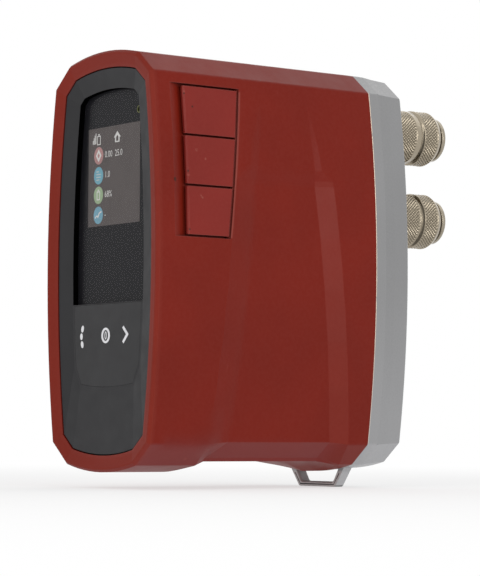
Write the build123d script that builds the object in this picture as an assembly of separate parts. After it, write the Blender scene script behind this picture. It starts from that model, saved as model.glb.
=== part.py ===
from build123d import *
from math import cos, sin, sqrt, radians
import os

# Hand-held differential pressure transmitter, in millimetres.
# X is across the front, Y runs from the display back to the hose couplings, Z is up.
# The origin is below the middle of the whole part, level with the strap loop it stands on.

# Body section: a barrel-sided octagon, seen from the front
body_height = 135.0        # from the crown of the bottom arch to the crown of the top arch
body_width = 65.2          # across the bowed sides at mid height
side_bow = 4.4             # how far a side bows out between its two ends
corner_rise = 9.1          # from a crown's height to the end of a bowed side
brow_inset = 12.7          # from the widest place in to the end of an arch
arch_rise = 2.4            # how far the top and bottom arches rise to their crowns
edge_round = 1.4           # soft rounding of the long edges

# Depths, front to back
cover_depth = 87.6         # rubber cover, from its front crest to the seam
shell_depth = 15.2         # metal rear shell, from the seam to its back face
coupling_reach = 37.2      # how far the couplings stand out of the back face
loop_drop = 5.2            # how far the strap loop hangs below the body

# Walls
cover_wall = 3.6           # rubber cover
housing_wall = 2.0         # rigid inner housing
shell_back_wall = 3.0      # back wall of the rear shell
fit_gap = 0.1              # loose fit between pieces that are assembled
flat_bottom = 5.4          # height of the flat underside of the inner housing
flat_start = 14.0          # depth where that flat underside starts
slip = 0.05                # line-to-line fit of parts that are pressed or laid in

# Rubber cover details
crest_round = 1.1          # rounding of the front outer edge
rim_drop = 1.2             # fall of the front rim from its crest to the bezel
rim_width = 5.3            # width of that rim
grip_depth = 2.0           # depth of the side grip hollow
grip_run_front = 9.0       # length of the hollow's front slope
grip_run_rear = 6.3        # length of its rear slope
grip_front_foot = 22.0     # depth of the hollow's front edge at the body's foot
grip_front_lean = 0.0925   # how the front edge leans back with height
grip_rear_foot = 74.0      # depth of the hollow floor's rear edge at the body's foot
grip_rear_lean = 0.11      # how the rear edge leans forward with height
grip_top_drop = 42.0       # from the body's top down to where the hollow starts to run out
grip_run_out = (5.0, 27.0) # heights above that where it is shallow, and where it ends
grip_run_out_depth = 0.75  # its depth at the first of them
cutter_stand = 3.0         # how far the hollow's cutter stands out of the body
grip_rings = 5             # straight stretches that follow the bowed side
grip_end_lean = 20.0       # lean of the hollow at the lower end of the bowed side, in degrees
lip_rise = 2.35            # how far above the bottom arch's end the hollow has its lip
lip_step = 0.9             # how far inside the lip the raised underside starts
belly_rise = 3.6           # how far the underside is raised between the two feet
belly_front = 23.9         # depth where the underside starts to rise
belly_front_run = 3.5      # length of that rise
belly_rear = 72.8          # depth where it starts to fall again
belly_rear_run = 9.4       # length of that fall

# Port flaps in the right side
flap_thickness = 1.8
flap_front = 11.6          # depth of the flaps' front edge
flap_rear_low = 26.9       # depth of the hinge line at the lowest flap's foot
flap_rear_lean = 0.115     # how the hinge line leans back with height
flap_top_drop = 13.2       # from the body's top down to the highest flap
flap_height = 15.25        # height of one flap
flap_gap = 0.7             # gap between two flaps
flap_count = 3
hinge_bead = 0.6           # radius of the rounded hinge strip
hinge_clearance = 0.08     # running clearance round that strip
hinge_relief = 1.15        # how far the pocket opens behind the hinge line
pocket_gap = 0.25          # gap in front of each flap
pocket_end_gap = 0.7       # gap above the highest and below the lowest flap
finger_front = 6.7         # depth where the finger hollow starts
plug_height = 0.9          # plug on a flap's inner face
plug_gap = 0.9             # how much smaller that plug is than its socket, all round
flap_edge = 0.4            # bevel of a flap's front edge
port_gap = 0.3             # gap round a socket where it passes through the walls

# Front bezel and what lies in it
bezel_seat = 8.2           # depth of the ledge that the bezel rests on
field_inset = 12.0         # inner field, measured in from the body's outline
field_drop = 2.9           # depth of the inner field's surface
bezel_gap = 0.35           # shadow gap between the bezel and the cover's rim
bezel_setback = 0.3        # from the rim's inner edge back to the bezel's
field_foot = 26.4          # height of the field's lower end
field_corner = 8.0         # rounding of its lower corners
window_foot_drop = 13.4    # from the body's middle down to the window's lower edge
window_depth = 4.8         # depth of the window's front face
window_thickness = 0.8
window_overlap = 1.6       # how far the window reaches behind the bezel
membrane_thickness = 0.5
membrane_gap = 0.3         # rim between the membrane and the window opening
membrane_border = 0.8      # rim of the field left bare round the membrane
screen_width = 30.0
screen_height = 32.0
screen_top_drop = 23.6     # from the body's top down to the lit screen
module_margin = 2.0        # display module's border round the lit screen
module_thickness = 2.4
tail_width = 16.0          # stiffener of the display's flat cable
tail_height = 4.0
tail_setback = 0.4
led_inset = 18.2           # status lamp, in from the body's right side
led_rise = 4.0             # and above the lit screen's top edge
led_radius = 1.2
led_lamp_height = 1.0      # clear part of the lamp

# Keys under the membrane
key_drop = 10.4            # from the window's lower edge down to the keys' middle
key_across = (-14.6, -0.7, 10.6)
key_radius = 3.2
key_travel = 0.3
key_stem = 2.6             # length of a key plunger
key_guide_clearance = 0.08
key_gap = 0.1              # play in front of and behind a key plunger
key_board_width = 36.0
key_board_height = 18.0
board_thickness = 1.6

# Boards and battery
bulkhead = 2.0             # housing's front wall
main_board_depth = 33.0
board_inset = 7.6
board_foot = 10.5
post_radius = 2.8
post_low = (14.0, 16.0)    # lower posts: from the middle, and up from the body's bottom
post_high = (10.0, 11.0)   # upper posts: from the middle, and down from the body's top
board_parts = (             # X range, height range and thickness of the larger parts
    ((-12.0, 2.0), (86.0, 100.0), 1.4),
    ((-14.0, -4.0), (66.0, 74.0), 1.0),
    ((4.0, 13.0), (50.0, 58.0), 2.2),
    ((-16.0, -7.0), (30.0, 42.0), 3.0),
)
screw_radius = 1.2
screw_clearance = 0.2      # play of a screw in its through hole
screw_head = 2.3
screw_head_height = 1.6
screw_engagement = 6.0
screw_hole_floor = 3.0     # closed end of a screw's hole
battery_width = 36.0
battery_height = 58.0
battery_thickness = 20.0
battery_foot = 20.5
battery_round = 5.0
port_board_inset = 13.6    # from the body's widest place in to the port board
port_board_margin = 1.6
port_plug_height = 18.0    # connector to the main board
port_plug_depth = 4.0
port_plug_width = 4.0
port_board_gap = 2.0       # from the port board's rear edge to the main board
usb_width = 8.9
usb_height = 3.2
usb_shell = 0.4
usb_tongue = 0.7           # thickness of the contact tongue
usb_tongue_setback = 0.6
jack_bore = 1.8
jack_radius = 3.4
socket_setback = 0.5       # from a flap's plug to the socket behind it
socket_floor = 1.0

# Rear shell
shell_step_depth = 4.2     # the first stretch, flush with the cover
shell_step_run = 4.0
shell_inset_front = 0.5    # inset of the stepped-in stretch at its front
shell_inset_back = 1.0     # and at its back
shell_edge = 1.0           # bevel round the back face
shell_cavity_inset = 5.6
gasket_inset = 4.3
gasket_width = 1.0
gasket_height = 0.9
rear_screw_inset = 10.6    # from the body's widest place in to a rear screw
rear_screw_rise = 14.5     # from the body's top or bottom to a rear screw
rear_screw_boss = 3.3
rear_screw_length = 18.0
counterbore_depth = 2.0
drive_radius = 1.1         # hexagon socket in a rear screw's head
drive_depth = 0.9

# Strap loop
loop_top_width = 31.0
loop_foot_width = 19.4
loop_thickness = 3.4
loop_setback = 0.8         # from the seam to the loop's front face
loop_bar = 1.7             # thickness of its lower bar
loop_eye_top = 22.6        # width of the eye at the body's bottom
loop_eye_foot = 16.6
loop_eye_corner = 1.6      # rounding of its lower corners
loop_eye_rise = 1.3        # how far the eye reaches up into the shell
loop_bevel = 0.5
loop_corner = 1.5          # rounding of the lug's lower corners
loop_root_height = 5.0     # how far its root reaches up into the shell
loop_root_extra = 1.5      # how much thicker its root is than the lug
loop_root_share = 0.35     # how much of the lug's flare goes on above the body's bottom

# Couplings
coupling_top_drop = 18.3   # from the body's top down to the upper coupling
coupling_pitch = 29.3      # between the two couplings
stem_neck_radius = 6.0
stem_neck_length = 12.0
hex_across = 17.0
hex_length = 5.0
spigot_radius = 4.5
spigot_length = 4.0
passage_radius = 1.6
barrel_radius = 6.4
mouth_radius = 4.5
mouth_depth = 13.0
seat_lip = 1.0
seat_hole_radius = 3.3
chamber_radius = 4.7
ring_radius = 7.65
ring_length = 1.8
sleeve_clearance = 0.06
sleeve_travel = 3.0
sleeve_stop_gap = 0.5      # left between sleeve and hexagon at the end of its travel
skirt_radius = 8.9
skirt_length = 4.5
knurl_rear_radius = 9.3
knurl_front_radius = 9.6
groove_start = 24.8        # vee groove between the two knurled bands
groove_width = 1.1
groove_radius = 8.5
knurl_end = 32.0
nose_radius = 8.3
nose_end = 34.2
lip_radius = 7.1
spring_pocket_radius = 8.1
spring_pocket_end = 22.0
spring_gap = 0.2           # play at a spring's ends
sleeve_wire = 0.45
sleeve_turns = 4
seal_thickness = 1.0
seal_seat = 0.5            # how much wider than the bore the seal's seat is
seal_hole_radius = 3.5
poppet_clearance = 0.08
poppet_length = 6.0
poppet_nose_radius = 3.0
poppet_travel = 2.5
poppet_stop_gap = 0.3      # left between poppet and stem at the end of its travel
poppet_seat_gap = 0.3      # head to seat, taken up by the seal
poppet_stem_radius = 2.0
poppet_wire = 0.35
poppet_turns = 3
wire_sides = 5             # the springs' wire is drawn with flat sides

# Sensor block
manifold_width = 26.0
manifold_margin = 9.0
manifold_thickness = 14.0
manifold_edge = 3.0
sensor_radius = 9.5
sensor_length = 12.0
sensor_cap_radius = 6.5
sensor_cap_length = 3.0
valve_radius = 6.2
valve_length = 17.0
manifold_screw_x = 9.6
valve_flange_width = 13.0
valve_flange_thickness = 2.5

# Values that follow from the sizes above
corner_width = body_width - 2 * side_bow
corner_span = body_height - 2 * corner_rise
brow_width = body_width - 2 * brow_inset
brow_span = body_height - 2 * arch_rise
total_depth = cover_depth + shell_depth + coupling_reach
front_y = -total_depth / 2
mid_z = loop_drop + body_height / 2
back_depth = cover_depth + shell_depth
housing_inset = cover_wall
cavity_inset = cover_wall + housing_wall
housing_front = rim_drop + 2.3
pocket_depth = flap_thickness + 0.15
bezel_front = rim_drop + bezel_setback
grip_top = body_height - grip_top_drop
flap_pitch = flap_height + flap_gap
flap_foot = body_height - flap_top_drop - flap_count * flap_pitch + flap_gap
window_foot = body_height / 2 - window_foot_drop
key_height = window_foot - key_drop
screen_foot = body_height - screen_top_drop - screen_height
led_across = body_width / 2 - led_inset
led_height = screen_foot + screen_height + led_rise
post_spots = (post_low, (post_high[0], body_height - post_high[1]))
port_board_across = body_width / 2 - port_board_inset
coupling_heights = {
    "upper": body_height - coupling_top_drop,
    "lower": body_height - coupling_top_drop - coupling_pitch,
}
seal_front = coupling_reach - mouth_depth + seal_thickness
sleeve_rear = hex_length + sleeve_travel + sleeve_stop_gap
key_front = field_drop + membrane_thickness + key_gap
key_board_front = key_front + key_stem + key_travel + key_gap
module_front = window_depth + window_thickness
board_seat = main_board_depth + board_thickness
mouth_floor = coupling_reach - mouth_depth
poppet_front = mouth_floor - seat_lip - poppet_seat_gap
poppet_rear = poppet_front - poppet_length
poppet_stop = hex_length + spigot_length
manifold_front = back_depth - shell_back_wall - manifold_thickness


def deep(depth):
    """Y of a place that lies this far behind the cover's front crest."""
    return front_y + depth


def high(height):
    """Z of a place this far above the crown of the bottom arch."""
    return loop_drop + height


def side_at(height):
    """Half width of the bowed side at a height above the body's bottom."""
    half_span = corner_span / 2
    bow = (body_width - corner_width) / 2
    radius = (bow ** 2 + half_span ** 2) / (2 * bow)
    drop = height - body_height / 2
    return body_width / 2 - radius + sqrt(radius ** 2 - drop ** 2)


def meet(centre, radius, normal, reach, near):
    """Where the line normal.P = reach meets a circle, at the crossing next to near."""
    offset = reach - (normal[0] * centre[0] + normal[1] * centre[1])
    along = sqrt(radius ** 2 - offset ** 2)
    foot = (centre[0] + normal[0] * offset, centre[1] + normal[1] * offset)
    tries = []
    for sign in (-1, 1):
        tries.append((foot[0] - normal[1] * along * sign, foot[1] + normal[0] * along * sign))
    return min(tries, key=lambda p: (p[0] - near[0]) ** 2 + (p[1] - near[1]) ** 2)


def outline_corners(inset):
    """Side middle, side end, arch end and crown of the body outline, moved in by inset."""
    end = (corner_width / 2, corner_span / 2)
    brow = (brow_width / 2, brow_span / 2)
    bow = (body_width - corner_width) / 2
    side_radius = (bow ** 2 + end[1] ** 2) / (2 * bow)
    rise = (body_height - brow_span) / 2
    arch_radius = (rise ** 2 + brow[0] ** 2) / (2 * rise)
    length = sqrt((end[0] - brow[0]) ** 2 + (brow[1] - end[1]) ** 2)
    normal = ((brow[1] - end[1]) / length, (end[0] - brow[0]) / length)
    reach = normal[0] * end[0] + normal[1] * end[1] - inset
    side_centre = (body_width / 2 - side_radius, 0)
    arch_centre = (0, body_height / 2 - arch_radius)
    side_end = meet(side_centre, side_radius - inset, normal, reach, end)
    arch_end = meet(arch_centre, arch_radius - inset, normal, reach, brow)
    return body_width / 2 - inset, side_end, arch_end, body_height / 2 - inset


def outline_face(inset, depth):
    """The body outline as an upright face at a depth behind the front crest."""
    side, end, brow, crown = outline_corners(inset)
    edges = [
        ThreePointArc((end[0], -end[1]), (side, 0), end),
        Line(end, brow),
        ThreePointArc(brow, (0, crown), (-brow[0], brow[1])),
        Line((-brow[0], brow[1]), (-end[0], end[1])),
        ThreePointArc((-end[0], end[1]), (-side, 0), (-end[0], -end[1])),
        Line((-end[0], -end[1]), (-brow[0], -brow[1])),
        ThreePointArc((-brow[0], -brow[1]), (0, -crown), (brow[0], -brow[1])),
        Line((brow[0], -brow[1]), (end[0], -end[1])),
    ]
    return upright(depth) * make_face(edges)


def upright(depth):
    """Plane across the body at a depth, with its local origin at mid height."""
    return Plane(origin=(0, deep(depth), mid_z), x_dir=(1, 0, 0), z_dir=(0, -1, 0))


def prism(inset, start, end):
    """The body outline, moved in by inset, from one depth to another."""
    return extrude(outline_face(inset, start), amount=end - start, dir=(0, 1, 0))


def block(x_range, depth_range, height_range):
    """A box given by its X range and its ranges of depth and height."""
    size = (x_range[1] - x_range[0], depth_range[1] - depth_range[0], height_range[1] - height_range[0])
    low = (x_range[0], deep(depth_range[0]), high(height_range[0]))
    return Pos(*low) * Box(*size, align=(Align.MIN, Align.MIN, Align.MIN))


def rod(x, depth_range, height, radius):
    """A cylinder along Y."""
    plane = Plane(origin=(x, deep(depth_range[0]), high(height)), x_dir=(1, 0, 0), z_dir=(0, 1, 0))
    return extrude(plane * Circle(radius), amount=depth_range[1] - depth_range[0])


def above(height):
    """Everything of the body's size above a height."""
    return block((-body_width, body_width), (-total_depth, total_depth), (height, 2 * body_height))


def lofted(rings):
    """A solid with flat-edged sides through rings of points."""
    return loft([Face(Wire.make_polygon(ring, close=True)) for ring in rings], ruled=True)


def grip_ring(point, outward, depth_in, floor, slopes):
    """One cross-section of the hollow: its floor, front to rear, and the run of each slope per depth."""
    reach = cutter_stand + depth_in
    outer = (point[0] + outward[0] * cutter_stand, point[1] + outward[1] * cutter_stand)
    inner = (point[0] - outward[0] * depth_in, point[1] - outward[1] * depth_in)
    return [
        (outer[0], deep(floor[0] - slopes[0] * reach), outer[1]),
        (inner[0], deep(floor[0]), inner[1]),
        (inner[0], deep(floor[1]), inner[1]),
        (outer[0], deep(floor[1] + slopes[1] * reach), outer[1]),
    ]


def grip_cutter():
    """The side grip hollow and the raised belly, as one channel round the right half."""
    rings = []
    foot = body_height / 2 - corner_span / 2
    step = (grip_top - foot) / grip_rings
    stations = [(grip_top + grip_run_out[1], -slip), (grip_top + grip_run_out[0], grip_run_out_depth)]
    stations += [(grip_top - step * i, grip_depth) for i in range(grip_rings + 1)]
    side_slopes = (grip_run_front / grip_depth, grip_run_rear / grip_depth)
    for height, depth_in in stations:
        front = grip_front_foot + grip_front_lean * height + grip_run_front
        rear = grip_rear_foot - grip_rear_lean * height
        point = (side_at(height), high(height))
        lean = 0.0 if height > foot + 0.01 else radians(grip_end_lean)
        outward = (cos(lean), -sin(lean))
        rings.append(grip_ring(point, outward, depth_in, (front, rear), side_slopes))
    floor = (belly_front + belly_front_run, belly_rear)
    inside = brow_width / 2 - lip_step
    inside_rise = arch_rise * (2 * inside / brow_width) ** 2
    spots = [(brow_width / 2, arch_rise, lip_rise), (inside, inside_rise, belly_rise - inside_rise),
             (0, 0, belly_rise)]
    for x, height, depth_in in spots:
        slopes = (belly_front_run / depth_in, belly_rear_run / depth_in)
        rings.append(grip_ring((x, high(height)), (0, -1), depth_in, floor, slopes))
    return lofted(rings)


def hinge_line(height):
    """Depth of the flaps' hinge line at a height."""
    return flap_rear_low + flap_rear_lean * (height - flap_foot)


def flap_ranges():
    """Bottom and top height of each flap, from the lowest up."""
    feet = [flap_foot + i * flap_pitch for i in range(flap_count)]
    return [(foot, foot + flap_height) for foot in feet]


def bead(low, high_end, radius):
    """The round hinge strip between two heights, as long as the flap."""
    ends = []
    for height in (low, high_end):
        ends.append(Vector(side_at(height) - hinge_bead, deep(hinge_line(height)), high(height)))
    along = ends[1] - ends[0]
    lead = along.normalized() * 2
    plane = Plane(origin=ends[0] - lead, z_dir=along)
    strip = extrude(plane * Circle(radius), amount=along.length + 4)
    return strip & block((0, body_width), (0, cover_depth), (low, high_end))


def flap_pocket():
    """The recess that holds the flaps, with the finger hollow in front of them."""
    ranges = flap_ranges()
    bottom = ranges[0][0] - pocket_end_gap
    top = ranges[-1][1] + pocket_end_gap
    splits = [bottom] + [r[0] - flap_gap / 2 for r in ranges[1:]] + [top]
    rings = []
    for height in splits:
        surface = side_at(height)
        line = hinge_line(height)
        floor = surface - pocket_depth
        bead_level = surface - hinge_bead
        z = high(height)
        rings.append([
            (surface + 1.5, deep(finger_front - 2.0), z),
            (surface, deep(finger_front), z),
            (floor, deep(flap_front - pocket_gap), z),
            (floor, deep(line + pocket_gap), z),
            (bead_level, deep(line + pocket_gap), z),
            (bead_level, deep(line + hinge_relief), z),
            (surface + 1.5, deep(line + hinge_relief), z),
        ])
    cutter = lofted(rings)
    for low, top_end in zip(splits[:-1], splits[1:]):
        cutter += bead(low, top_end, hinge_bead + hinge_clearance)
    return cutter


def port_centre(index):
    """Depth and height of the middle of a flap."""
    low, top = flap_ranges()[index]
    height = (low + top) / 2
    return (flap_front + hinge_line(height)) / 2, height


def port_cutter(index, grow, x_from, x_to):
    """The opening behind a flap: flat for the charging socket, round for the probes."""
    depth, height = port_centre(index)
    if index == flap_count - 1:
        half_w = usb_width / 2 + usb_shell + grow
        half_h = usb_height / 2 + usb_shell + grow
        return block((x_from, x_to), (depth - half_w, depth + half_w), (height - half_h, height + half_h))
    plane = Plane(origin=(x_from, deep(depth), high(height)), z_dir=(1, 0, 0))
    return extrude(plane * Circle(jack_radius + grow), amount=x_to - x_from)


def port_flap(index):
    """One rubber flap with its hinge strip, its lifting edge and its plug."""
    low, top = flap_ranges()[index]
    rings = []
    for height in (low, top):
        surface = side_at(height)
        line = hinge_line(height)
        z = high(height)
        rings.append([
            (surface, deep(flap_front + flap_edge), z),
            (surface, deep(line), z),
            (surface - flap_thickness, deep(line), z),
            (surface - flap_thickness, deep(flap_front + flap_edge), z),
            (surface - flap_thickness + flap_edge, deep(flap_front), z),
            (surface - flap_edge, deep(flap_front), z),
        ])
    flap = lofted(rings) + bead(low, top, hinge_bead)
    depth, height = port_centre(index)
    inner = side_at(height) - flap_thickness
    plug = port_cutter(index, -plug_gap, inner - plug_height, inner + flap_thickness / 2)
    return flap + plug


def rubber_cover():
    """Soft outer cover: faceted prism, dished rim, grip hollows, flap pocket."""
    body = prism(0, 0, cover_depth)
    body = fillet(body.edges().filter_by(Axis.Y), edge_round)
    front_edges = body.edges().filter_by(lambda e: e.bounding_box().max.Y < front_y + 0.01)
    body = chamfer(front_edges, crest_round * 0.75)
    right = grip_cutter()
    body -= right
    body -= mirror(right, Plane.YZ)
    dish = loft([outline_face(crest_round * 0.7, -0.2), outline_face(rim_width, rim_drop)], ruled=True)
    body -= dish
    body -= prism(rim_width, rim_drop - 0.1, housing_front + 0.1)
    body -= housing_envelope(housing_front)
    body -= flap_pocket()
    for index in range(flap_count):
        surface = side_at(port_centre(index)[1])
        body -= port_cutter(index, port_gap, surface - cover_wall - 1, surface)
    return body


def housing_envelope(start):
    """Outer form of the rigid inner housing, with a flat underside behind the display."""
    rear = prism(housing_inset, flat_start, cover_depth) & above(flat_bottom)
    return prism(housing_inset, start, flat_start) + rear


def inner_housing():
    """Rigid housing inside the cover: tube, front bulkhead, screw bosses and board posts."""
    body = housing_envelope(housing_front)
    cavity = prism(cavity_inset, bezel_seat + bulkhead, cover_depth + 1)
    body -= cavity & above(flat_bottom + housing_wall)
    body -= prism(rim_width - fit_gap, housing_front - 1, bezel_seat)
    module = display_box(fit_gap)
    body -= module
    low = key_height - key_board_height / 2 - fit_gap
    top = key_height + key_board_height / 2 + fit_gap
    half = key_board_width / 2 + fit_gap
    body -= block((-half, half), (bezel_seat - 1, bezel_seat + bulkhead + 1), (low, top))
    for x, height in post_spots:
        for side in (-1, 1):
            body += rod(side * x, (bezel_seat + bulkhead, main_board_depth), height, post_radius)
            body -= rod(side * x, (main_board_depth - screw_engagement, main_board_depth + 1), height,
                        screw_radius)
    for x, z in rear_screw_spots():
        start = cover_depth - rear_screw_length
        boss = rod(x, (start, cover_depth), z, rear_screw_boss) & prism(housing_inset + 1, 0, cover_depth)
        body += boss
        body -= rod(x, (start + screw_hole_floor, cover_depth + 1), z, screw_radius)
    for index in range(flap_count):
        surface = side_at(port_centre(index)[1])
        body -= port_cutter(index, port_gap, surface - cavity_inset - 3, surface)
    return body


def rear_screw_spots():
    """X and height of the four rear screws."""
    spots = []
    across = body_width / 2 - rear_screw_inset
    for x in (-across, across):
        for height in (rear_screw_rise, body_height - rear_screw_rise):
            spots.append((x, height))
    return spots


def field_face(depth, grow):
    """The bezel's inner field: outline above, rounded corners at the foot."""
    side, end, brow, crown = outline_corners(field_inset - grow)
    foot = field_foot - body_height / 2 - grow
    radius = field_corner + grow
    low_side = side_at(field_foot + radius) - (field_inset - grow)
    edges = [
        ThreePointArc((low_side, foot + radius), (side, 0), end),
        Line(end, brow),
        ThreePointArc(brow, (0, crown), (-brow[0], brow[1])),
        Line((-brow[0], brow[1]), (-end[0], end[1])),
        ThreePointArc((-end[0], end[1]), (-side, 0), (-low_side, foot + radius)),
        Line((-low_side, foot + radius), (-low_side + radius * 0.45, foot + 1.0)),
        ThreePointArc((-low_side + radius * 0.45, foot + 1.0), (0, foot),
                      (low_side - radius * 0.45, foot + 1.0)),
        Line((low_side - radius * 0.45, foot + 1.0), (low_side, foot + radius)),
    ]
    return upright(depth) * make_face(edges)


def front_bezel():
    """Dark front frame: dished border, window opening, membrane bed and key guides."""
    body = prism(rim_width, housing_front, bezel_seat)
    body += prism(rim_width + bezel_gap, bezel_front, housing_front)
    border = rim_width + bezel_gap - slip
    body -= loft([outline_face(border, bezel_front - 0.02), field_face(field_drop, 0)], ruled=True)
    opening = extrude(field_face(field_drop - 2, 0), amount=bezel_seat, dir=(0, 1, 0))
    body -= opening & above(window_foot)
    body -= window_solid(fit_gap, bezel_seat)
    body -= membrane_solid(0, field_drop - 0.5)
    for x in key_across:
        body -= rod(x, (0, bezel_seat + 1), key_height, key_radius + key_guide_clearance)
    low = key_height - key_board_height / 2 - fit_gap
    top = key_height + key_board_height / 2 + fit_gap
    half = key_board_width / 2 + fit_gap
    body -= block((-half, half), (key_board_front, bezel_seat + 1), (low, top))
    body -= display_box(fit_gap)
    return body


def window_solid(grow, back):
    """The window plate, or its seat when grown."""
    face = field_face(window_depth, window_overlap + grow)
    plate = extrude(face, amount=back - window_depth, dir=(0, 1, 0))
    return plate & above(window_foot - window_overlap - grow)


def display_window():
    """Clear window behind the bezel."""
    return window_solid(0, module_front)


def display_box(grow):
    """The display module, or the space for it when grown."""
    half = screen_width / 2 + module_margin + grow
    low = screen_foot - module_margin - grow
    top = screen_foot + screen_height + module_margin + grow
    end = module_front + module_thickness if grow == 0 else bezel_seat + bulkhead + 1
    return block((-half, half), (module_front, end), (low, top))


def display_module():
    """Display glass and its frame, with the flat cable's stiffener below."""
    top = screen_foot - module_margin
    tail = block((-tail_width / 2, tail_width / 2), (module_front + tail_setback, bezel_seat),
                 (top - tail_height, top))
    return display_box(0) + tail


def membrane_solid(shrink, front):
    """The keypad membrane that fills the lower part of the field."""
    reach = field_drop + membrane_thickness - front
    sheet = extrude(field_face(front, -membrane_border - shrink), amount=reach, dir=(0, 1, 0))
    return sheet - above(window_foot - membrane_gap - shrink)


def keypad_membrane():
    """Thin flexible sheet over the keys."""
    return membrane_solid(slip, field_drop)


def key_plunger(x):
    """A key's plunger: a short disc under the membrane, guided in the bezel."""
    return rod(x, (key_front, key_front + key_stem), key_height, key_radius)


def key_board():
    """Small board that carries the three key switches."""
    low = key_height - key_board_height / 2
    return block((-key_board_width / 2, key_board_width / 2),
                 (key_board_front, key_board_front + board_thickness), (low, low + key_board_height))


def status_led():
    """Status lamp behind the window, on a small foot."""
    foot = module_front + led_lamp_height
    lamp = rod(led_across, (module_front, foot), led_height, led_radius)
    return lamp + block((led_across - led_radius, led_across + led_radius), (foot, bezel_seat),
                        (led_height - led_radius, led_height + led_radius))


def main_board():
    """Main circuit board, shaped to the housing, with its larger parts."""
    board = extrude(outline_face(board_inset, main_board_depth), amount=board_thickness, dir=(0, 1, 0))
    board = board & above(board_foot)
    for x, height in post_spots:
        for side in (-1, 1):
            board -= rod(side * x, (main_board_depth - 1, board_seat + 1), height,
                         screw_radius + screw_clearance)
    for across, heights, thickness in board_parts:
        board += block(across, (main_board_depth - thickness, main_board_depth), heights)
    return board


def board_screws():
    """Four screws that hold the main board to its posts."""
    screws = []
    for x, height in post_spots:
        for side in (-1, 1):
            shank = rod(side * x, (board_seat - screw_engagement, board_seat), height, screw_radius - slip)
            head = rod(side * x, (board_seat, board_seat + screw_head_height), height, screw_head)
            screws.append(shank + head)
    return screws


def battery_pack():
    """Wrapped rechargeable pack on the back of the main board."""
    pack = block((-battery_width / 2, battery_width / 2), (board_seat, board_seat + battery_thickness),
                 (battery_foot, battery_foot + battery_height))
    return fillet(pack.edges().filter_by(Axis.Z), battery_round)


def port_board():
    """Side board that carries the three sockets, plugged into the main board."""
    low = flap_ranges()[0][0] + port_board_margin
    top = flap_ranges()[-1][1] - port_board_margin
    rear = main_board_depth - port_board_gap
    outer = port_board_across + board_thickness
    board = block((port_board_across, outer), (flap_front, rear), (low, top))
    mid = (low + top) / 2
    plug = block((port_board_across - port_plug_width, outer), (rear - port_plug_depth, main_board_depth),
                 (mid - port_plug_height / 2, mid + port_plug_height / 2))
    return board + plug


def socket_front(index):
    """X of a socket's open face."""
    height = port_centre(index)[1]
    return side_at(height) - flap_thickness - plug_height - socket_setback


def charging_socket():
    """Flat socket behind the top flap."""
    index = flap_count - 1
    depth, height = port_centre(index)
    start = port_board_across + board_thickness
    shell = port_cutter(index, 0, start, socket_front(index))
    half_w = usb_width / 2
    half_h = usb_height / 2
    shell -= block((start + socket_floor, socket_front(index) + 1), (depth - half_w, depth + half_w),
                   (height - half_h, height + half_h))
    tongue = block((start, socket_front(index) - usb_tongue_setback),
                   (depth - half_w * 0.75, depth + half_w * 0.75),
                   (height - usb_tongue / 2, height + usb_tongue / 2))
    return shell + tongue


def probe_socket(index):
    """Round jack for a temperature probe."""
    depth, height = port_centre(index)
    start = port_board_across + board_thickness
    body = port_cutter(index, 0, start, socket_front(index))
    plane = Plane(origin=(start + socket_floor, deep(depth), high(height)), z_dir=(1, 0, 0))
    return body - extrude(plane * Circle(jack_bore), amount=socket_front(index) - start)


def rear_shell():
    """Metal rear shell with its stepped flanks, strap loop, screw seats and coupling holes."""
    step = cover_depth + shell_step_depth
    back = back_depth - shell_edge
    body = prism(0, cover_depth, step)
    body = fillet(body.edges().filter_by(Axis.Y), edge_round)
    stations = [(0, step), (shell_inset_front, step + shell_step_run), (shell_inset_back, back),
                (shell_inset_back + shell_edge, back_depth)]
    for near, far in zip(stations[:-1], stations[1:]):
        body += loft([outline_face(*near), outline_face(*far)], ruled=True)
    body += strap_lug()
    body -= prism(shell_cavity_inset, cover_depth - 1, back_depth - shell_back_wall)
    body += loop_root()
    body -= strap_eye()
    for x, z in rear_screw_spots():
        boss = rod(x, (cover_depth, back_depth - 1), z, rear_screw_boss)
        body += boss & prism(shell_inset_back, cover_depth, back_depth)
        body -= rod(x, (cover_depth - 1, back_depth + 1), z, screw_radius + screw_clearance)
        body -= rod(x, (back_depth - counterbore_depth, back_depth + 1), z, screw_head + screw_clearance)
    for height in coupling_heights.values():
        body -= rod(0, (cover_depth, back_depth + 1), height, stem_neck_radius)
    groove = prism(gasket_inset, cover_depth - 1, cover_depth + gasket_height)
    body -= groove - prism(gasket_inset + gasket_width, cover_depth - 2, cover_depth + gasket_height + 1)
    return body


def loop_face(widths, heights, depth, corner):
    """A four-cornered face for the lug or its eye, wide at the top and rounded at the foot."""
    (top_width, foot_width), (top, foot) = widths, heights
    points = [(-top_width / 2, top), (top_width / 2, top), (foot_width / 2, foot), (-foot_width / 2, foot)]
    mid = body_height / 2
    face = make_face(Polyline(*[(x, h - mid) for x, h in points], close=True))
    return upright(depth) * fillet(face.vertices().sort_by(Axis.Y)[:2], corner)


def strap_lug():
    """The solid lug below the shell, before its eye is cut."""
    start = cover_depth + loop_setback
    heights = (loop_root_height, -loop_drop)
    grow = (loop_top_width - loop_foot_width) / loop_drop * loop_root_height * loop_root_share
    face = loop_face((loop_top_width + grow, loop_foot_width), heights, start, loop_corner)
    return extrude(face, amount=loop_thickness, dir=(0, 1, 0))


def loop_root():
    """Thickening inside the shell's floor that the lug grows from."""
    return block((-loop_top_width / 2, loop_top_width / 2),
                 (cover_depth + loop_setback, cover_depth + loop_setback + loop_thickness + loop_root_extra),
                 (loop_eye_rise + 1.0, shell_cavity_inset + loop_root_extra))


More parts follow.
